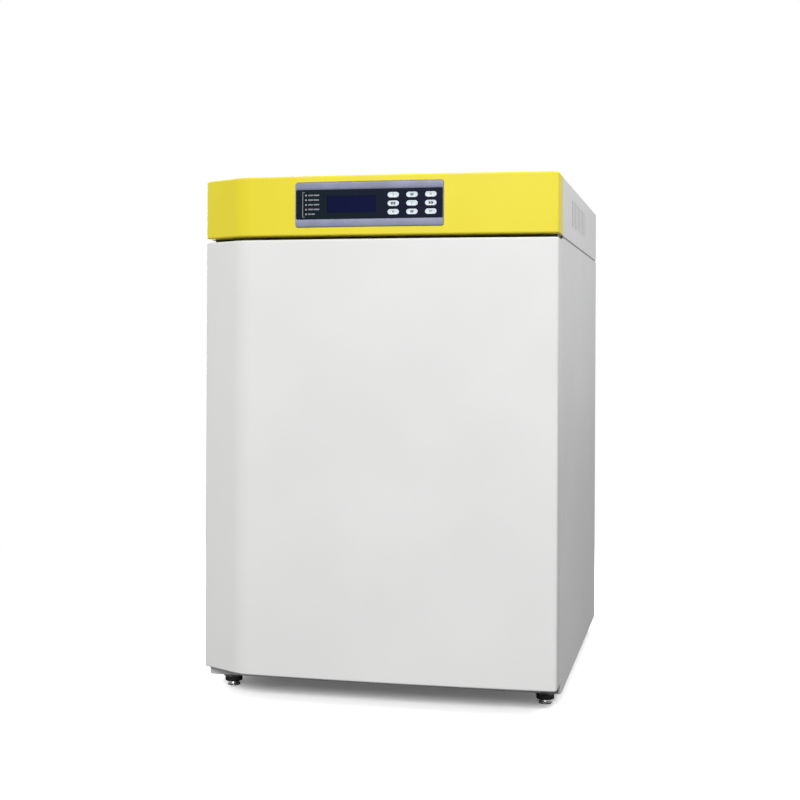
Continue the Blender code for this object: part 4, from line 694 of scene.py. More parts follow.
class Look(Enum):
    """The finishes that a piece can have."""

    WHITE_PAINT = PowderCoat((0.800, 0.800, 0.795))
    GREY_PAINT = PowderCoat((0.785, 0.788, 0.790), 0.48, 620.0, 0.00005, 0.10)
    YELLOW_ENAMEL = Enamel((0.856, 0.744, 0.044))
    SILVER_PLASTIC = MouldedPlastic((0.222, 0.240, 0.350), 0.48, 1500.0, 0.00002, 0.12, 0.10)
    WINDOW = WindowFilm(-0.130, 0.118)
    DISPLAY = DisplayGlass()
    KEY_PLASTIC = MouldedPlastic((0.690, 0.770, 0.830), 0.38, 2200.0, 0.00001, 0.06)
    KEY_INK = PlainInk((0.012, 0.016, 0.045))
    PALE_INK = PlainInk((0.270, 0.260, 0.320))
    GREY_INK = PlainInk((0.120, 0.150, 0.175))
    STEEL_ACROSS = BrushedMetal((0.720, 0.715, 0.700), Axis.X, 0.34)
    STEEL_DEEP = BrushedMetal((0.740, 0.735, 0.720), Axis.Y, 0.36)
    STEEL_UPRIGHT = BrushedMetal((0.700, 0.695, 0.680), Axis.Z, 0.28)
    ZINC_PLATE = PlatedMetal((0.560, 0.570, 0.590))
    NICKEL_PLATE = PlatedMetal((0.640, 0.635, 0.620), 0.24, 240.0)
    BLACK_PLASTIC = MouldedPlastic((0.018, 0.018, 0.019), 0.42)
    SATIN_BLACK = MouldedPlastic((0.030, 0.030, 0.032), 0.34, 2200.0, 0.00002)
    SEAL_RUBBER = MouldedPlastic((0.022, 0.022, 0.023), 0.68, 900.0, 0.00005, 0.25)
    SILICONE = MouldedPlastic((0.760, 0.755, 0.720), 0.55, 1100.0, 0.00003, 0.06)
    BRASS = PlatedMetal((0.730, 0.530, 0.220), 0.26, 300.0)
    CLEAR_GLASS = ClearGlass(PANE_HIGH.x, PANE_LOW.z, PANE_HIGH.z)
    GAS_SENSOR = TwoTone((0.800, 0.795, 0.770), (0.045, 0.047, 0.050), CEILING - 0.028)
    PROBE = TwoTone((0.60, 0.60, 0.59), (0.045, 0.047, 0.050), CEILING + 0.080, 0.26, 0.4)
    PANEL_BOARD = CircuitBoard(Axis.Y, -0.3760, (0.34, 0.34, 0.33))
    CONTROL_BOARD = CircuitBoard(Axis.Z, 0.7780, (0.035, 0.036, 0.040))
    WOOL = MineralWool((0.700, 0.620, 0.350))
    FOIL = HeaterFoil()

    @lru_cache(maxsize=None)
    def material(self) -> bpy.types.Material:
        """The finish's material, made the first time that it is asked for."""
        return self.value.material(self.name.lower())


# ------------------------------------------------------------------- surfaces


@dataclass(frozen=True)
class Surface:
    """Points and faces as whole arrays: points is (n, 3), and each array of faces is (m, k)."""

    points: np.ndarray
    faces: tuple[np.ndarray, ...]

    def __add__(self, other: Surface) -> Surface:
        """Both surfaces as one; the second one's indices move past the first one's points."""
        shifted = tuple(face + len(self.points) for face in other.faces)
        return Surface(np.concatenate([self.points, other.points]), self.faces + shifted)

    def stood_up(self) -> Surface:
        """The surface with its own height along y and its own length along z."""
        return Surface(self.points[:, [0, 2, 1]], self.faces)

    def flipped(self) -> Surface:
        """The surface upside down: each height times -1."""
        return Surface(self.points * np.array([1.0, 1.0, -1.0]), self.faces)

    def moved(self, x: float = 0.0, y: float = 0.0, z: float = 0.0) -> Surface:
        """The surface shifted by x, y and z."""
        return Surface(self.points + np.array([x, y, z]), self.faces)

    def turned(self, angle: float) -> Surface:
        """The surface turned about z through the origin: its points times the turn's matrix.

        Args:
            angle: The turn in radians, anticlockwise from above.

        Returns:
            The turned surface.
        """
        cosine, sine = math.cos(angle), math.sin(angle)
        spin = np.array([[cosine, sine, 0.0], [-sine, cosine, 0.0], [0.0, 0.0, 1.0]])
        return Surface(self.points @ spin, self.faces)

    def made(self, name: str, crease: float = 35.0) -> bpy.types.Object:
        """Turn the arrays into an object.

        Args:
            name: The piece's name.
            crease: The angle in degrees above which an edge stays sharp.

        Returns:
            The object, at the origin, with its doubles merged and its faces outward.
        """
        mesh = bpy.data.meshes.new(name)
        rows = [row for face in self.faces for row in face.tolist()]
        mesh.from_pydata(self.points.tolist(), [], rows)
        return finished_mesh(mesh, name, crease)


def finished_mesh(mesh: bpy.types.Mesh, name: str, crease: float) -> bpy.types.Object:
    """Merge a mesh's doubles, turn its faces outward and put it in the scene.

    Args:
        mesh: The raw mesh.
        name: The piece's name.
        crease: The angle in degrees above which an edge stays sharp.

    Returns:
        The object at the origin, smooth between its creases.
    """
    form = bmesh.new()
    form.from_mesh(mesh)
    bmesh.ops.remove_doubles(form, verts=form.verts, dist=MERGE)
    bmesh.ops.dissolve_degenerate(form, edges=form.edges, dist=MERGE)
    bmesh.ops.recalc_face_normals(form, faces=form.faces)
    form.to_mesh(mesh)
    form.free()
    thing = bpy.data.objects.new(name, mesh)
    bpy.context.scene.collection.objects.link(thing)
    mesh.shade_smooth()
    mesh.set_sharp_from_angle(angle=math.radians(crease))
    edges = np.empty(len(mesh.loops), np.int32)
    mesh.loops.foreach_get("edge_index", edges)
    sharp = np.empty(len(mesh.edges), bool)
    mesh.edges.foreach_get("use_edge_sharp", sharp)
    sharp |= np.bincount(edges, minlength=len(sharp)) != 2
    mesh.edges.foreach_set("use_edge_sharp", sharp)
    return thing


def joined(parts: Iterable[Surface]) -> Surface:
    """All the surfaces as one."""
    return reduce(add, parts)


def lofted(rings: np.ndarray, closed: bool = True, chained: bool = False) -> Surface:
    """A skin over a row of rings of the same number of points.

    Point (i, j) of the grid is point j of ring i, and each face joins four neighbours.

    Args:
        rings: An array (rings, points, 3).
        closed: Whether each ring's last point joins its first.
        chained: Whether the last ring joins the first, and otherwise both are filled.

    Returns:
        The skin.
    """
    rows, count = rings.shape[:2]
    i = np.arange(rows if chained else rows - 1)[:, None]
    j = np.arange(count if closed else count - 1)[None, :]
    up, along = (i + 1) % rows, (j + 1) % count
    corners = np.broadcast_arrays(i * count + j, i * count + along, up * count + along,
                                  up * count + j)
    faces: tuple[np.ndarray, ...] = (np.stack(corners, -1).reshape(-1, 4),)
    if not chained:
        last = np.arange(count)[None]
        faces += (last[:, ::-1], last + (rows - 1) * count)
    return Surface(rings.reshape(-1, 3), faces)


def arc(centre: np.ndarray, radius: float, start: float, end: float, count: int) -> np.ndarray:
    """Points on a circle, centre + radius * (cos t, sin t), from one angle t to another.

    Args:
        centre: The circle's centre (2,).
        radius: Its radius.
        start: The first angle in radians.
        end: The last angle.
        count: How many points.

    Returns:
        An array (count, 2).
    """
    t = np.linspace(start, end, count)
    return centre + radius * np.stack([np.cos(t), np.sin(t)], -1)


def rounded_outline(width: float, height: float, radius: float, steps: int = 6) -> np.ndarray:
    """A rounded rectangle about the origin.

    Each corner is a quarter circle about its own centre, the corners follow each other
    anticlockwise, and straight sides join them.

    Args:
        width: The whole width.
        height: The whole height.
        radius: The corners' radius.
        steps: Points per quarter circle, less one.

    Returns:
        An array (4 * (steps + 1), 2).
    """
    radius = max(min(radius, width / 2, height / 2), 1e-5)
    quarter = np.linspace(0.0, math.pi / 2, steps + 1)
    angles = (quarter[None] + np.arange(4)[:, None] * math.pi / 2).ravel()
    signs = np.repeat(np.array([[1, 1], [-1, 1], [-1, -1], [1, -1]]), steps + 1, axis=0)
    centres = signs * np.array([width / 2 - radius, height / 2 - radius])
    return centres + radius * np.stack([np.cos(angles), np.sin(angles)], -1)


def raised(outline: np.ndarray, height: float) -> np.ndarray:
    """An outline (n, 2) as a ring (n, 3) at one height."""
    return np.column_stack([outline, np.full(len(outline), height)])


def rounding(radius: float, steps: int = 4) -> tuple[np.ndarray, np.ndarray]:
    """The quarter circle of an eased edge.

    Args:
        radius: The edge's radius, or 0 for a sharp edge of one point.
        steps: Steps on the quarter circle.

    Returns:
        How far in from the side, radius * (1 - cos t), and how far below the face,
        radius * (1 - sin t), for t from 0 at the side to a right angle at the face.
    """
    t = np.linspace(0.0, math.pi / 2, steps + 1 if radius else 1)
    return radius * (1.0 - np.cos(t)), radius * (1.0 - np.sin(t))


def slab(width: float, height: float, corner: float, low: float, high: float,
         ease_low: float = 0.0, ease_high: float = 0.0, dish: float = 0.0,
         steps: int = 6) -> Surface:
    """A rounded rectangular plate whose rims are eased and whose top may be dished.

    Each ring is the outline drawn in by the rim's quarter circle; a dish goes on inward with
    rings at shares s of the outline, at a depth of dish * (1 - s * s).

    Args:
        width: The whole width.
        height: The whole height.
        corner: The outline's corner radius.
        low: The height of the underside.
        high: The height of the top.
        ease_low: The radius of the lower rim.
        ease_high: The radius of the upper rim.
        dish: The depth of the dish in the top.
        steps: Steps per corner.

    Returns:
        The closed plate, its height along its own third axis.
    """
    inward, below = rounding(ease_low)
    levels = [(a, low + b) for a, b in zip(inward[::-1], below[::-1])]
    inward, below = rounding(ease_high)
    levels += [(a, high - b) for a, b in zip(inward, below)]
    rings = [raised(rounded_outline(width - 2 * a, height - 2 * a, corner - a, steps), level)
             for a, level in levels]
    if dish:
        rim = rings[-1]
        rings += [rim * np.array([s, s, 1.0]) - np.array([0.0, 0.0, dish * (1 - s * s)])
                  for s in np.linspace(0.9, 0.1, 6)]
    return lofted(np.stack(rings))


def turned_form(profile: Sequence[Place], sides: int = 48, swell: Swell | None = None) -> Surface:
    """A form of revolution about its own third axis.

    Ring i has the profile's radius i at the profile's height i, at evenly spaced angles; swell
    may change the radius by angle and height.

    Args:
        profile: Pairs of radius and height, from one end to the other.
        sides: Points round.
        swell: A factor on the radius, from arrays of angles and heights.

    Returns:
        The closed form.
    """
    radius, height = np.array(profile, float).T
    angle = np.linspace(0.0, 2 * math.pi, sides, endpoint=False)
    reach = np.repeat(radius[:, None], sides, axis=1)
    if swell is not None:
        reach = reach * swell(angle[None, :], height[:, None])
    rings = np.stack([reach * np.cos(angle), reach * np.sin(angle),
                      np.repeat(height[:, None], sides, axis=1)], -1)
    return lofted(rings)


def eased_profile(corners: Sequence[Corner], steps: int = 3) -> list[Place]:
    """A profile whose corners are rounded.

    At each corner a quadratic curve runs from a point before it, through the corner's pull, to
    a point after it: (1-t)^2 before + 2t(1-t) corner + t^2 after.

    Args:
        corners: Radius, height and the ease of each corner, 0 for a sharp one.
        steps: Steps on each curve.

    Returns:
        Pairs of radius and height.
    """
    spots = np.array([[r, h] for r, h, _ in corners])
    profile: list[Place] = []
    for number, (r, h, ease) in enumerate(corners):
        if not ease or number in (0, len(corners) - 1):
            profile.append((r, h))
            continue
        here = spots[number]
        before, after = spots[number - 1] - here, spots[number + 1] - here
        start = here + before / np.linalg.norm(before) * ease
        end = here + after / np.linalg.norm(after) * ease
        t = np.linspace(0.0, 1.0, steps + 1)[:, None]
        curve = (1 - t) ** 2 * start + 2 * t * (1 - t) * here + t ** 2 * end
        profile += [tuple(spot) for spot in curve.tolist()]
    return profile


def framed_sweep(half_width: float, half_height: float, corner: float,
                 profile: Sequence[Place], steps: int = 10) -> Surface:
    """A closed profile carried round a rounded rectangle.

    Each profile point is a pair: how far outside the rectangle, and how high. It makes one ring,
    the rectangle grown by its reach, and the rings are chained round the profile.

    Args:
        half_width: Half the rectangle's width.
        half_height: Half its height.
        corner: Its corner radius.
        profile: Pairs of reach and height round the profile.
        steps: Steps per corner.

    Returns:
        The closed ring, its height along its own third axis.
    """
    rings = [raised(rounded_outline(2 * (half_width + a), 2 * (half_height + a),
                                    max(corner + a, 0.0005), steps), b) for a, b in profile]
    return lofted(np.stack(rings), chained=True)


# ------------------------------------------------------- solids and hand-over


def extent(node: str) -> tuple[np.ndarray, np.ndarray]:
    """The middle and the size of a solid's box."""
    low, high = (np.array(corner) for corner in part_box(node))
    return (low + high) / 2, high - low


def joint_place(name: str) -> list[float]:
    """A point on a joint's axis."""
    return next(joint["pos_m"] for joint in frame["joints"] if joint["name"] == name)


def hand_over(thing: bpy.types.Object, look: Look, node: str, instead: bool = True) -> None:
    """Dress a new piece and set it on the body of the solid that it belongs to.

    Args:
        thing: The piece, in place.
        look: Its finish.
        node: The solid whose body it moves with.
        instead: Whether it stands in for that solid, or only adds to it.
    """
    body = frame["nodes"][node]["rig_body"]
    thing.data.materials.clear()
    thing.data.materials.append(look.material())
    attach(thing, body)
    if instead:
        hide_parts(node)
    LOG.info("%s on %s: %d faces", thing.name, body, len(thing.data.polygons))


def dress(node: str, look: Look) -> None:
    """Give a solid its finish and leave its shape.

    Args:
        node: The solid.
        look: Its finish.
    """
    slots = frame["nodes"][node].data.materials
    slots.clear()
    slots.append(look.material())
    LOG.info("%s keeps its solid", node)


def evenly_shaded(thing: bpy.types.Object) -> None:
    """Lean a piece's normals towards its larger faces, and keep them apart at its creases."""
    normals = thing.modifiers.new("even shading", "WEIGHTED_NORMAL")
    normals.keep_sharp = True


def smooth_copy(node: str, look: Look, crease: float = 30.0, name: str | None = None
                ) -> bpy.types.Object:
    """A solid's surface merged and shaded smooth between its creases, in the solid's stead.

    Args:
        node: The solid.
        look: Its finish.
        crease: The angle in degrees above which an edge stays sharp.
        name: The piece's name, if not the node's name with "_skin".

    Returns:
        The piece.
    """
    mesh = frame["nodes"][node].data.copy()
    mesh.materials.clear()
    thing = finished_mesh(mesh, name or f"{node}_skin", crease)
    evenly_shaded(thing)
    hand_over(thing, look, node)
    return thing


def baked(thing: bpy.types.Object) -> bpy.types.Object:
    """Replace a piece's mesh by what its modifiers make of it, and drop them.

    Args:
        thing: The piece.

    Returns:
        The piece with its new mesh.
    """
    depsgraph = bpy.context.evaluated_depsgraph_get()
    mesh = bpy.data.meshes.new_from_object(thing.evaluated_get(depsgraph))
    thing.modifiers.clear()
    thing.data = mesh
    return thing


def pierced(thing: bpy.types.Object, cutter: Surface, crease: float = 40.0) -> bpy.types.Object:
    """Cut a form out of a piece.

    Args:
        thing: The piece.
        cutter: The closed form that is taken away.
        crease: The angle in degrees above which an edge stays sharp.

    Returns:
        The piece with its openings.
    """
    tool = cutter.made("cutter")
    hole = thing.modifiers.new("opening", "BOOLEAN")
    hole.operation = "DIFFERENCE"
    hole.solver = "EXACT"
    hole.object = tool
    baked(thing)
    bpy.data.objects.remove(tool)
    thing.data.shade_smooth()
    thing.data.set_sharp_from_angle(angle=math.radians(crease))
    return thing


# ------------------------------------------------------------- sub-assemblies


@dataclass
class FrontMoulding:
    """A painted front of folded sheet: bowed in plan, with a grip facet down its left side."""

    node: str
    look: Look
    name: str
    bow: float = 0.008
    grip_width: float = 0.095
    grip_angle: float = math.radians(30.0)
    grip_blend: float = 0.070
    grip_edge: float = 0.006
    corner: float = 0.0075
    rim: float = 0.003
    corner_points: int = 9
    front_points: int = 66
    blend_points: int = 22
    facet_points: int = 8
    left: float = field(init=False)
    right: float = field(init=False)
    crest: float = field(init=False)
    back: float = field(init=False)
    bottom: float = field(init=False)
    top: float = field(init=False)

    def __post_init__(self) -> None:
        """Take the moulding's box from its solid."""
        (self.left, self.crest, self.bottom), (self.right, self.back, self.top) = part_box(self.node)

    def bowed(self, x: np.ndarray | float) -> np.ndarray | float:
        """The bowed face: crest + bow * (x / half width) squared."""
        return self.crest + self.bow * (x / self.right) ** 2

    def plan(self) -> np.ndarray:
        """The plan outline from the right rear edge round to the left rear edge.

        A quarter circle turns the right corner, the parabola of the bow crosses the front, an arc
        tangent to it leads into the straight grip facet, and a small arc ends in the left side.

        Returns:
            An array (n, 2).
        """
        ahead = -math.pi / 2
        corner_x = self.right - self.corner
        centre = np.array([corner_x, self.bowed(corner_x) + self.corner])
        corner = arc(centre, self.corner, 0.0, ahead, self.corner_points)

        blend_x = self.left + self.grip_width
        across = np.linspace(corner_x, blend_x, self.front_points)[1:-1]
        front = np.stack([across, self.bowed(across)], -1)

        start = ahead + math.atan(2 * self.bow * blend_x / self.right ** 2)
        touch = np.array([blend_x, self.bowed(blend_x)])
        centre = touch - self.grip_blend * np.array([math.cos(start), math.sin(start)])
        blend = arc(centre, self.grip_blend, start, ahead - self.grip_angle, self.blend_points)

        edge_x = self.left + self.grip_edge
        end_x = edge_x - self.grip_edge * math.sin(self.grip_angle)
        end_y = blend[-1, 1] + (blend[-1, 0] - end_x) * math.tan(self.grip_angle)
        centre = np.array([edge_x, end_y + self.grip_edge * math.cos(self.grip_angle)])
        edge = arc(centre, self.grip_edge, ahead - self.grip_angle, -math.pi, self.corner_points)
        share = np.linspace(0.0, 1.0, self.facet_points)[1:-1, None]
        facet = blend[-1] * (1 - share) + edge[0] * share
        ends = np.array([[self.right, self.back], [self.left, self.back]])
        return np.concatenate([ends[:1], corner, front, blend, facet, edge, ends[1:]])

    def skin(self) -> bpy.types.Object:
        """The open sheet shell: the plan drawn in round both rims, closed flat above and below.

        Each ring is the plan less the rim's inset times its outward normal, at the rim's height.

        Returns:
            The shell with its wall on the inside.
        """
        plan = self.plan()
        run = np.gradient(plan, axis=0)
        run[0], run[-1] = (0.0, -1.0), (0.0, 1.0)
        run /= np.linalg.norm(run, axis=1, keepdims=True)
        outward = np.stack([-run[:, 1], run[:, 0]], -1)
        inward, below = rounding(self.rim, 5)
        levels = np.concatenate([self.bottom + below[::-1], self.top - below])
        insets = np.concatenate([inward[::-1], inward])
        rings = np.stack([raised(plan - inset * outward, level)
                          for inset, level in zip(insets, levels)])
        thing = lofted(rings, closed=False).made(self.name, 60.0)
        wall = thing.modifiers.new("sheet", "SOLIDIFY")
        wall.thickness = SHEET
        wall.offset = -1.0
        wall.use_even_offset = True
        return baked(thing)

    def finish(self, cutter: Surface) -> None:
        """Cut the shell's openings, dress it and put it in place of its solid.

        Args:
            cutter: The closed form of the openings.
        """
        thing = pierced(self.skin(), cutter)
        evenly_shaded(thing)
        hand_over(thing, self.look, self.node)


@dataclass
class Seal:
    """A soft seal: one section carried round the front of its solid's box.

    The section's points are shares of the seal's width, from its inner side, and of its depth.
    """

    node: str
    name: str
    look: Look
    width: float
    corner: float
    crease: float
    section: Sequence[Place]

    def build(self) -> None:
        """Scale the section to the seal's width and depth, and carry it round."""
        middle, size = extent(self.node)
        section = [(a * self.width, b * size[1]) for a, b in self.section]
        ring = framed_sweep(size[0] / 2 - self.width, size[2] / 2 - self.width, self.corner,
                            section).stood_up()
        piece = ring.moved(middle[0], middle[1] - size[1] / 2, middle[2])
        hand_over(piece.made(self.name, self.crease), self.look, self.node)


@dataclass
class OuterDoor:
    """The outer door: its painted shell, the inner pan, the seal and the hinge bushes.

    folds runs up one side of the seal, in shares of its width and depth.
    """

    bush_hole: float = 0.0073
    bush_reach: float = 0.004
    folds: Sequence[Place] = ((0.0, 0.0), (0.0, 0.10), (0.16, 0.16), (0.16, 0.24), (0.02, 0.32),
                              (0.02, 0.40), (0.16, 0.48), (0.16, 0.56), (0.04, 0.62),
                              (0.04, 0.94), (0.12, 1.0))

    def build(self) -> None:
        """Make the door's pieces."""
        self.shell()
        self.seal()
        smooth_copy("door_liner", Look.WHITE_PAINT)
        for node in ("lower_door_bush", "upper_door_bush"):
            smooth_copy(node, Look.BLACK_PLASTIC, 40.0)

    def shell(self) -> None:
        """The bowed shell, with a round hole for each hinge bush."""
        moulding = FrontMoulding("door_shell", Look.WHITE_PAINT, "door_front")
        x, y = joint_place("outer_door_hinge")[:2]
        reach = self.bush_reach
        hole = turned_form([(0.0, -reach), (self.bush_hole, -reach), (self.bush_hole, reach),
                            (0.0, reach)])
        moulding.finish(joined(hole.moved(x, y, z) for z in (moulding.bottom, moulding.top)))

    def seal(self) -> None:
        """The magnetic seal: a flat foot, a bellows with three folds and a flat magnet pocket."""
        section = (*self.folds, *((1.0 - a, b) for a, b in reversed(self.folds)))
        Seal("door_gasket", "door_seal", Look.SEAL_RUBBER, 0.012, 0.014, 30.0, section).build()


class Row(Enum):
    """The keypad's rows."""

    UPPER = "upper"
    MIDDLE = "middle"
    LOWER = "lower"


class Column(Enum):
    """The keypad's columns."""

    LEFT = "left"
    CENTRE = "centre"
    RIGHT = "right"


ARROWS = {(Row.UPPER, Column.CENTRE): 90.0, (Row.LOWER, Column.CENTRE): -90.0,
          (Row.MIDDLE, Column.LEFT): 180.0, (Row.MIDDLE, Column.RIGHT): 0.0}


@dataclass
class ControlHead:
    """The yellow head front, its bezel, window, display, keys and legend.

    crown pairs a share of the bezel's frame with its height there, and words pairs the middle
    and the length of each bar of a lamp's name, both as shares of the name's length.
    """

    opening_corner: float = 0.0043
    opening_reach: float = 0.012
    bezel_corner: float = 0.004
    panel_corner: float = 0.002
    side_rim: float = 0.0013
    end_band: float = 0.003
    crown: Sequence[Place] = ((0.0, 0.006), (0.0, 0.0016), (0.02, 0.0007), (0.06, 0.0003),
                              (0.14, 0.0001), (0.35, 0.0), (0.6, 0.0), (0.82, 0.0001),
                              (0.92, 0.0003), (0.98, 0.0007), (1.0, 0.0013), (1.0, 0.006))
    ink: float = 0.00012
    sunk: float = 0.0001
    bracket_shift: float = 0.1115
    bracket: Place = (0.0011, 0.0415)
    tick: Place = (0.0030, 0.0009)
    tick_shift: Place = (0.0016, 0.0203)
    lamp_pitch: float = 0.0077
    name_shift: float = 0.0090
    name_height: float = 0.0022
    name_lengths: Sequence[float] = (0.0200, 0.0195, 0.0200, 0.0200, 0.0120)
    words: Sequence[Place] = ((0.22, 0.40), (0.72, 0.48))
    key_width: float = 0.019
    key_height: float = 0.009
    key_ease: float = 0.0009
    key_dish: float = 0.0004
    mark_depth: float = 0.0003
    arm: float = 0.0036
    stroke: float = 0.0021
    reach: float = 0.0037
    chevron_shifts: Sequence[float] = (0.0010, -0.0032)
    narrowed: float = 0.76
    dash: Place = (0.0009, 0.0036)
    dash_pitch: float = 0.0020
    centre: np.ndarray = field(init=False)
    size: np.ndarray = field(init=False)
    front: float = field(init=False)

    def __post_init__(self) -> None:
        """Take the bezel's place and size from its solid."""
        self.centre, self.size = extent("display_bezel")
        self.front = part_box("display_bezel")[0].y

    def build(self) -> None:
        """Make the head's front pieces."""
        self.face()
        self.bezel()
        self.window()
        dress("lcd_display", Look.DISPLAY)
        dress("keypad_board", Look.PANEL_BOARD)
        self.legend()
        for row in Row:
            for column in Column:
                self.key(row, column)

    def face(self) -> None:
        """The yellow shell with the bezel's window in it."""
        moulding = FrontMoulding("fascia", Look.YELLOW_ENAMEL, "head_front")
        opening = slab(self.size[0] + 2 * SEAM, self.size[2] + 2 * SEAM, self.opening_corner,
                       -self.opening_reach, self.opening_reach)
        moulding.finish(opening.stood_up().moved(self.centre[0], moulding.crest, self.centre[2]))

    def bezel(self) -> None:
        """The bezel: a crowned frame between the outer outline and the window's outline.

        Share t runs over the frame from outside to inside; each ring is outer * (1 - t) +
        inner * t, at a height that rises round the outer edge, crowns and falls to the window.
        """
        width, depth, height = self.size
        outer = rounded_outline(width, height, self.bezel_corner, 8)
        inner = rounded_outline(width - 2 * self.side_rim, extent("display_panel")[1][2] + 2 * SEAM,
                                self.panel_corner, 8)
        crown = [(0.0, depth), *self.crown, (1.0, depth)]
        rings = np.stack([raised(outer * (1 - t) + inner * t, h) for t, h in crown])
        ring = lofted(rings, chained=True).stood_up()
        piece = ring.moved(self.centre[0], self.front, self.centre[2]).made("bezel_frame", 40.0)
        hand_over(piece, Look.SILVER_PLASTIC, "display_bezel")

    def window(self) -> None:
        """The dark window: its solid's surface, both ends let out to the bezel's side rims."""
        thing = smooth_copy("display_panel", Look.WINDOW, 1.0, "window_panel")
        middle, size = extent("display_panel")
        half = size[0] / 2
        let_out = self.size[0] / 2 - self.side_rim - SEAM - half
        points = np.empty(len(thing.data.vertices) * 3)
        thing.data.vertices.foreach_get("co", points)
        across = points[0::3] - middle[0]
        points[0::3] += np.sign(across) * let_out * (np.abs(across) > half - self.end_band)
        thing.data.vertices.foreach_set("co", points)

    def bar(self, x: float, z: float, size: Place, level: float) -> Surface:
        """A printed bar whose corners are rounded to three tenths of its thickness.

        Args:
            x: Its middle across.
            z: Its middle's height.
            size: Its width and height.
            level: The y of its face; its back is sunk a little behind the ink.

        Returns:
            The closed bar.
        """
        mark = slab(*size, min(size) * 0.3, 0.0, self.ink + self.sunk, steps=3)
        return mark.stood_up().moved(x, level, z)

    def legend(self) -> None:
        """The printed bracket beside the lamps and two plain bars for each lamp's name."""
        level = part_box("display_panel")[0].y - self.ink
        x, z = self.centre[0] - self.bracket_shift, self.centre[2]
        right, up = self.tick_shift
        parts = [self.bar(x, z, self.bracket, level)]
        parts += [self.bar(x + right, z + rise, self.tick, level) for rise in (up, -up)]
        for number, length in enumerate(self.name_lengths):
            row = z + (2 - number) * self.lamp_pitch
            parts += [self.bar(x + self.name_shift + length * middle, row,
                               (length * share, self.name_height), level)
                      for middle, share in self.words]
        piece = joined(parts).made("window_legend")
        hand_over(piece, Look.PALE_INK, "display_panel", instead=False)

    def key(self, row: Row, column: Column) -> None:
        """One key with its dished cap, and the mark printed on it.

        Args:
            row: The key's row.
            column: Its column.
        """
        node = f"key_{row.value}_{column.value}"
        low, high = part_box(node)
        x, _, z = extent(node)[0]
        cap = slab(self.key_width, self.key_height, self.key_height / 2, 0.0, high.y - low.y,
                   ease_high=self.key_ease, dish=self.key_dish, steps=8)
        thing = cap.flipped().stood_up().moved(x, high.y, z).made(f"{node}_cap", 50.0)
        hand_over(thing, Look.KEY_PLASTIC, node)
        if (row, column) in ARROWS:
            size = self.narrowed if column is Column.CENTRE else 1.0
            mark, look = self.chevrons(ARROWS[row, column], size), Look.KEY_INK
        else:
            mark, look = self.dashes(row, column), Look.GREY_INK
        level = low.y + self.key_dish - self.ink
        printed = mark.stood_up().moved(x, level, z).made(f"{node}_mark")
        hand_over(printed, look, node, instead=False)

    def chevrons(self, angle: float, size: float) -> Surface:
        """Two nested chevrons, the second one behind the first.

        Args:
            angle: Where they point, in degrees from the right.
            size: A factor on their size.

        Returns:
            Both chevrons, flat, about the origin.
        """
        arm, tip, stroke = (size * length for length in (self.arm, self.reach, self.stroke * 1.5))
        outline = np.array([[tip, 0.0], [tip - arm, arm], [tip - arm - stroke, arm],
                            [tip - stroke, 0.0], [tip - arm - stroke, -arm], [tip - arm, -arm]])
        shapes = [outline + np.array([shift * size, 0.0]) for shift in self.chevron_shifts]
        forms = [lofted(np.stack([raised(shape, 0.0), raised(shape, self.ink + self.mark_depth)]))
                 for shape in shapes]
        return joined(forms).turned(math.radians(angle))

    def dashes(self, row: Row, column: Column) -> Surface:
        """A short upright dash, one more on the right keys and one more on the lower keys.

        Args:
            row: The key's row.
            column: Its column.

        Returns:
            The dashes, flat, about the origin.
        """
        count = 1 + (column is Column.RIGHT) + (row is Row.LOWER)
        spots = (np.arange(count) - (count - 1) / 2) * self.dash_pitch
        dash = slab(*self.dash, 0.0003, 0.0, self.ink + self.mark_depth, steps=2)
        return joined(dash.moved(spot) for spot in spots)


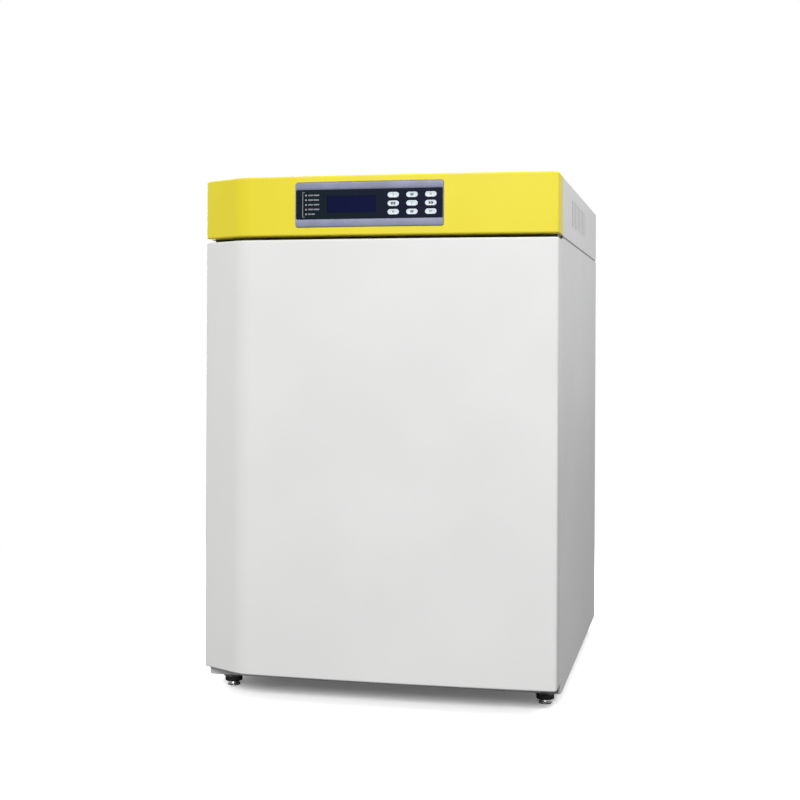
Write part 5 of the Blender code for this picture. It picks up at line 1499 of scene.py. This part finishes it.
@dataclass
class LevellingFoot:
    """One levelling foot: knurled collar, steel pad and threaded stud."""

    node: str
    pad: float = 0.011
    pad_height: float = 0.007
    collar: float = 0.015
    collar_height: float = 0.009
    stud: float = 0.005
    stud_sunk: float = 0.0005
    pitch: float = 0.00125
    thread_depth: float = 0.05
    thread_end: float = 0.002
    lobes: int = 24
    lobe_depth: float = 0.035
    lobe_fade: float = 1.6
    collar_top: float = field(init=False)
    top: float = field(init=False)

    def __post_init__(self) -> None:
        """Take the heights of the collar's top and the stud's top."""
        self.collar_top = self.pad_height + self.collar_height
        self.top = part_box(self.node)[1].z

    def build(self) -> None:
        """Make the foot's two pieces over the middle of its solid."""
        x, y, _ = extent(self.node)[0]
        forms = {"pad": (self.steel(), Look.NICKEL_PLATE, 40.0),
                 "collar": (self.grip(), Look.BLACK_PLASTIC, 50.0)}
        for part, (form, look, crease) in forms.items():
            hand_over(form.moved(x, y).made(f"{self.node}_{part}", crease), look, self.node)

    def steel(self) -> Surface:
        """The turned pad and the stud that rises from it.

        Returns:
            Both forms, in the foot's place but about the origin.
        """
        pad, top = self.pad, self.pad_height
        profile = [(0.0, 0.0, 0.0), (pad, 0.0, 0.0008), (pad, 0.0030, 0.0006),
                   (pad - 0.0015, 0.0042, 0.0006), (pad - 0.0022, top, 0.0004), (0.0, top, 0.0)]
        return turned_form(eased_profile(profile)) + self.thread()

    def grip(self) -> Surface:
        """The knurled collar, just clear of the pad.

        Returns:
            The closed collar about the origin.
        """
        low, high = self.pad_height + 0.0001, self.collar_top
        profile = [(0.0, low, 0.0), (self.collar - 0.0030, low, 0.0),
                   (self.collar, self.pad_height + 0.0012, 0.0005),
                   (self.collar, high - 0.0014, 0.0005), (self.collar - 0.0022, high, 0.0005),
                   (self.stud - 0.0002, high, 0.0)]
        return turned_form(eased_profile(profile), self.lobes * 4, self.knurl)

    def knurl(self, angle: np.ndarray, height: np.ndarray) -> np.ndarray:
        """The grip's lobes: 1 less a small share of the cosine, fading out at both rims.

        Args:
            angle: Angles round the collar.
            height: Heights.

        Returns:
            The factor on the radius.
        """
        middle = (self.pad_height + self.collar_top) / 2
        away = np.abs(height - middle) / (self.collar_height / 2)
        fade = np.clip(self.lobe_fade - away * self.lobe_fade, 0, 1)
        return 1.0 - self.lobe_depth * fade * (0.5 - 0.5 * np.cos(self.lobes * angle))

    def thread(self) -> Surface:
        """The stud, in six rings for each turn of its thread.

        Returns:
            The closed stud about the origin.
        """
        low = self.collar_top - self.stud_sunk
        rows = max(int((self.top - low) / self.pitch * 6), 12)
        profile = [(self.stud, h) for h in np.linspace(low, self.top, rows)]
        return turned_form([(0.0, low), *profile, (0.0, self.top)], 28, self.groove)

    def groove(self, angle: np.ndarray, height: np.ndarray) -> np.ndarray:
        """1 less a share of a wave in height less the turn so far: it climbs a pitch a turn.

        Args:
            angle: Angles round the stud.
            height: Heights.

        Returns:
            The factor on the radius.
        """
        wave = 2 * math.pi * (height / self.pitch) - angle
        fade = np.clip((self.top - height) / self.thread_end, 0.0, 1.0)
        return 1.0 - self.thread_depth * fade * (0.5 + 0.5 * np.cos(wave))


@dataclass
class LatchKnob:
    """The inner door's knob: a fluted grip on a skirt, its spindle, tongue and pointer."""

    node: str = "glass_door_knob"
    flutes: int = 12
    flute_depth: float = 0.11
    flute_foot: float = 0.0065
    tip: float = 0.0105
    grip: float = 0.0118
    root: float = 0.0122
    skirt: float = 0.0130
    spindle: float = 0.0036
    nut: float = 0.0070
    nut_height: float = 0.0024
    seam: float = 0.0002
    place: Sequence[float] = field(init=False)
    tall: float = field(init=False)
    behind: float = field(init=False)

    def __post_init__(self) -> None:
        """Take the knob's reach before and behind the glass from its joint and its solid."""
        self.place = joint_place("glass_door_knob_turn")
        low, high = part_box(self.node)
        self.tall, self.behind = self.place[1] - low.y, high.y - self.place[1]

    def build(self) -> None:
        """Make the grip, the tongue and the pointer line."""
        grip = self.outward(turned_form(self.profile(), self.flutes * 8, self.flute))
        hand_over(grip.made("latch_knob", 45.0), Look.SATIN_BLACK, self.node)
        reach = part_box(self.node)[1].z - self.place[2]
        tongue = slab(0.008, reach, 0.0015, self.seam, 0.0029, 0.0003, 0.0003)
        tongue = self.outward(tongue).moved(z=reach / 2).made("latch_tongue")
        hand_over(tongue, Look.NICKEL_PLATE, self.node, instead=False)
        line = slab(0.0012, 0.0075, 0.0005, self.tall - 0.0002, self.tall, steps=3)
        line = self.outward(line).moved(y=-0.00004, z=0.0050).made("latch_pointer")
        hand_over(line, Look.PALE_INK, self.node, instead=False)

    def profile(self) -> list[Place]:
        """The turned outline from the grip's end, over the skirt, to the nut behind the glass.

        Returns:
            Pairs of radius and height in front of the glass.
        """
        tall, back, front = self.tall, -self.behind, self.nut_height - self.behind
        return eased_profile([
            (0.0, tall, 0.0), (self.tip, tall, 0.0010), (self.grip, tall - 0.0060, 0.0010),
            (self.root, 0.0062, 0.0008), (self.skirt, 0.0050, 0.0004),
            (self.skirt, 0.0012, 0.0004), (0.0112, self.seam, 0.0003),
            (self.spindle, self.seam, 0.0), (self.spindle, front, 0.0),
            (self.nut, front, 0.0003), (self.nut, back, 0.0003), (0.0, back, 0.0)])

    def flute(self, angle: np.ndarray, height: np.ndarray) -> np.ndarray:
        """The finger grooves: 1 less a share of a raised cosine, fading at skirt and top.

        Args:
            angle: Angles round the knob.
            height: Heights in front of the glass.

        Returns:
            The factor on the radius.
        """
        foot = np.clip((height - self.flute_foot) / 0.003, 0, 1)
        fade = foot * np.clip((self.tall - height) / 0.002, 0, 1)
        return 1.0 - self.flute_depth * fade * (0.5 - 0.5 * np.cos(self.flutes * angle)) ** 2

    def outward(self, form: Surface) -> Surface:
        """A form on the knob's axis, its own height towards the front."""
        return form.flipped().stood_up().moved(*self.place)


@dataclass
class GlassDoor:
    """The inner glass door with its rail, keeper, knob and seal.

    The seal's lips and foot are in shares of its width and depth.
    """

    lip: float = 0.22
    lip_middles: Place = (0.76, 0.24)
    lip_height: float = 0.55
    foot: float = 0.62

    def build(self) -> None:
        """Make the inner door's pieces."""
        dress("glass_door", Look.CLEAR_GLASS)
        for node in ("glass_door_hinge_rail", "glass_door_hinge_strip", "glass_door_keeper"):
            smooth_copy(node, Look.STEEL_UPRIGHT)
        LatchKnob().build()
        self.seal()

    def seal(self) -> None:
        """The soft chamber seal: a flat foot with two rounded lips towards the glass."""
        lips = [(middle + self.lip * math.cos(t), self.lip_height * (1.0 - math.sin(t)))
                for middle in self.lip_middles for t in np.linspace(0.0, math.pi, 9).tolist()]
        section = [(0.0, 1.0), (1.0, 1.0), (1.0, self.foot), *lips, (0.0, self.foot)]
        Seal("chamber_gasket", "chamber_seal", Look.SILICONE, 0.011, 0.022, 40.0, section).build()


@dataclass
class RearScrews:
    """Pan-head screws with a cross recess, set flat on the rear."""

    name: str
    places: Sequence[Place]
    level: float
    radius: float = 0.0036
    height: float = 0.0018
    sunk: float = 0.0010

    def build(self) -> None:
        """Make all the screws as one piece, and cut both slots of each recess."""
        radius, height = self.radius, self.height
        head = turned_form([
            (0.0, -self.sunk), (radius, -self.sunk), (radius, 0.0004), (radius * 0.92, 0.0009),
            (radius * 0.72, height * 0.82), (radius * 0.45, height), (0.0, height)], 24)
        slot = slab(radius * 1.05, radius * 0.22, 0.0001, height * 0.55, height + 0.001, steps=1)
        thing = joined(self.set_at(head, place) for place in self.places).made(self.name, 40.0)
        for place in self.places:
            for angle in (math.pi / 4, -math.pi / 4):
                pierced(thing, self.set_at(slot.turned(angle), place))
        hand_over(thing, Look.ZINC_PLATE, "base_pan", instead=False)

    def set_at(self, form: Surface, place: Place) -> Surface:
        """A form on the rear face: its height outward, its centre at the place."""
        return form.stood_up().moved(place[0], self.level, place[1])


@dataclass
class Cabinet:
    """The outer sheets, the chamber and what is in it, and the fittings on the rear."""

    skins: Mapping[str, Look] = field(default_factory=lambda: {
        "front_frame": Look.WHITE_PAINT, "top_cover": Look.GREY_PAINT,
        "left_side_panel": Look.GREY_PAINT, "right_side_panel": Look.GREY_PAINT,
        "back_panel": Look.GREY_PAINT, "base_pan": Look.ZINC_PLATE,
        "electronics_deck": Look.ZINC_PLATE, "chamber_liner": Look.STEEL_DEEP,
        "air_duct_cover": Look.STEEL_ACROSS,
        "humidity_pan": Look.STEEL_ACROSS, "lower_shelf": Look.STEEL_ACROSS,
        "middle_shelf": Look.STEEL_ACROSS, "upper_shelf": Look.STEEL_ACROSS,
        "co2_sensor": Look.GAS_SENSOR, "temperature_probe": Look.PROBE,
        "fan_motor": Look.ZINC_PLATE, "fan_wheel": Look.SATIN_BLACK,
        "gas_valve": Look.ZINC_PLATE, "gas_tube": Look.SILICONE, "gas_fitting": Look.BRASS,
        "access_port": Look.BLACK_PLASTIC, "access_port_stopper": Look.SILICONE,
        "mains_inlet": Look.BLACK_PLASTIC, "power_switch": Look.SATIN_BLACK,
        "lower_door_bracket": Look.ZINC_PLATE, "upper_door_bracket": Look.SATIN_BLACK,
        "chamber_heater": Look.FOIL})
    plain: Mapping[str, Look] = field(default_factory=lambda: {
        "insulation_jacket": Look.WOOL, "controller_board": Look.CONTROL_BOARD,
        "power_supply": Look.ZINC_PLATE, "shelf_rack": Look.STEEL_DEEP})
    panel_inset: float = 0.010
    panel_rise: float = 0.020
    cover_reach: float = 0.270
    cover_rise: float = 0.012

    def build(self) -> None:
        """Dress every solid of the cabinet that isn't computed again elsewhere."""
        for node, look in self.skins.items():
            smooth_copy(node, look)
        for node, look in self.plain.items():
            dress(node, look)
        self.fasten()

    def fasten(self) -> None:
        """The screws of the rear panel and of the cover's rear edge."""
        low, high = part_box("back_panel")
        across = high.x - self.panel_inset
        rows = np.linspace(low.z + self.panel_rise, high.z - self.panel_rise, 4).tolist()
        places = [(side * across, row) for side in (-1, 1) for row in rows]
        RearScrews("rear_panel_screws", places, high.y).build()
        low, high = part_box("top_cover")
        places = [(x, low.z + self.cover_rise) for x in (-self.cover_reach, self.cover_reach, 0.0)]
        RearScrews("cover_rear_screws", places, high.y).build()


# --------------------------------------------------------------------- studio


def aimed(thing: bpy.types.Object, axes: Sequence[np.ndarray], spot: np.ndarray) -> None:
    """Turn a lamp or a camera, set it in its place and link it.

    Args:
        thing: The lamp or the camera.
        axes: Where its right, its top and its back point.
        spot: Its place.
    """
    turn = Matrix(np.stack(axes, -1).tolist()).to_4x4()
    thing.matrix_world = Matrix.Translation(spot.tolist()) @ turn
    bpy.context.scene.collection.objects.link(thing)


@dataclass(frozen=True)
class Lamp:
    """A broad round lamp that faces the cabinet's middle.

    Its level is how light it makes a white face that it meets squarely, 1 for white: a disc of
    power P lights such a face at distance d to P / (pi d)^2. Its azimuth runs in degrees from
    the front towards the right.
    """

    name: str
    level: float
    azimuth: float
    elevation: float
    away: float
    diameter: float

    def build(self, middle: np.ndarray) -> None:
        """Make the lamp.

        Args:
            middle: The place that it faces.
        """
        light = bpy.data.lights.new(self.name, "AREA")
        light.shape = "DISK"
        light.size = self.diameter
        light.energy = self.level * (math.pi * self.away) ** 2
        thing = bpy.data.objects.new(self.name, light)
        thing.visible_camera = False
        a, e = math.radians(self.azimuth), math.radians(self.elevation)
        towards = np.array([math.sin(a) * math.cos(e), -math.cos(a) * math.cos(e), math.sin(e)])
        side = np.cross([0.0, 0.0, 1.0], towards)
        side /= np.linalg.norm(side)
        aimed(thing, [side, np.cross(towards, side), towards], middle + towards * self.away)


@dataclass
class Studio:
    """The pale floor and background, the soft lamps and the camera."""

    azimuth: float = 12.527
    roll: float = 0.261
    focal_pixels: float = 1391.4
    target: Sequence[float] = (0.0473, -0.383, 0.5924)
    distance: float = 2.25
    horizon_rise: float = 54.55
    frame_pixels: float = 800.0
    sensor: float = 36.0
    nearest: float = 0.05
    farthest: float = 60.0
    middle: Sequence[float] = (0.0, 0.0, 0.45)
    ambient: float = 0.50
    mirrored: float = 0.75
    floor_radius: float = 12.0
    floor_sides: int = 96
    lamps: Sequence[Lamp] = (Lamp("key", 0.63, 0.0, 24.0, 6.0, 2.2),
                             Lamp("side", 0.36, 78.0, 42.0, 2.4, 1.0),
                             Lamp("rear fill", 0.48, 212.0, 14.0, 3.2, 2.0))

    def build(self) -> None:
        """Make the floor, the world, the lamps and the camera."""
        self.floor()
        self.world()
        for lamp in self.lamps:
            lamp.build(np.array(self.middle))
        self.camera()
        bpy.context.scene.view_settings.view_transform = "Standard"

    def floor(self) -> None:
        """A round floor of one face."""
        angle = np.linspace(0.0, 2 * math.pi, self.floor_sides, endpoint=False)
        ring = np.stack([np.cos(angle), np.sin(angle)], -1) * self.floor_radius
        disc = Surface(raised(ring, 0.0), (np.arange(self.floor_sides)[None],)).made("floor")
        disc.data.materials.append(PaleFloor().material("pale floor"))

    def world(self) -> None:
        """White where it is seen, light grey in gloss, and the ambient level where it lights."""
        world = bpy.data.worlds.new("studio")
        bpy.context.scene.world = world
        world.use_nodes = True
        graph = Graph(world.node_tree)
        gloss = graph.node("ShaderNodeLightPath", output="Is Glossy Ray")
        strength = (graph.seen_plainly() * (1.0 - self.ambient)
                    + gloss * (self.mirrored - self.ambient) + self.ambient)
        light = graph.node("ShaderNodeBackground", sockets={"Color": WHITE, "Strength": strength})
        graph.output("ShaderNodeOutputWorld", light)

    def camera(self) -> None:
        """The camera at the photograph's angle: level, rolled a little, with the horizon raised."""
        lens = bpy.data.cameras.new("camera")
        lens.sensor_width = self.sensor
        lens.lens = self.focal_pixels * self.sensor / self.frame_pixels
        lens.shift_y = -self.horizon_rise / self.frame_pixels
        lens.clip_start, lens.clip_end = self.nearest, self.farthest
        a, r = math.radians(self.azimuth), math.radians(self.roll)
        back = np.array([math.sin(a), -math.cos(a), 0.0])
        right = np.array([math.cos(a), math.sin(a), 0.0])
        over = np.array([0.0, 0.0, 1.0])
        side = right * math.cos(r) + over * math.sin(r)
        up = over * math.cos(r) - right * math.sin(r)
        thing = bpy.data.objects.new("camera", lens)
        aimed(thing, [side, up, back], np.array(self.target) + back * self.distance)
        bpy.context.scene.camera = thing


def main() -> None:
    """Build every sub-assembly and the studio."""
    logging.basicConfig(level=logging.INFO, format="%(name)s: %(message)s")
    OuterDoor().build()
    ControlHead().build()
    for node in ("foot_front_left", "foot_front_right", "foot_rear_left", "foot_rear_right"):
        LevellingFoot(node).build()
    GlassDoor().build()
    Cabinet().build()
    Studio().build()


if __name__ == "__main__":
    main()
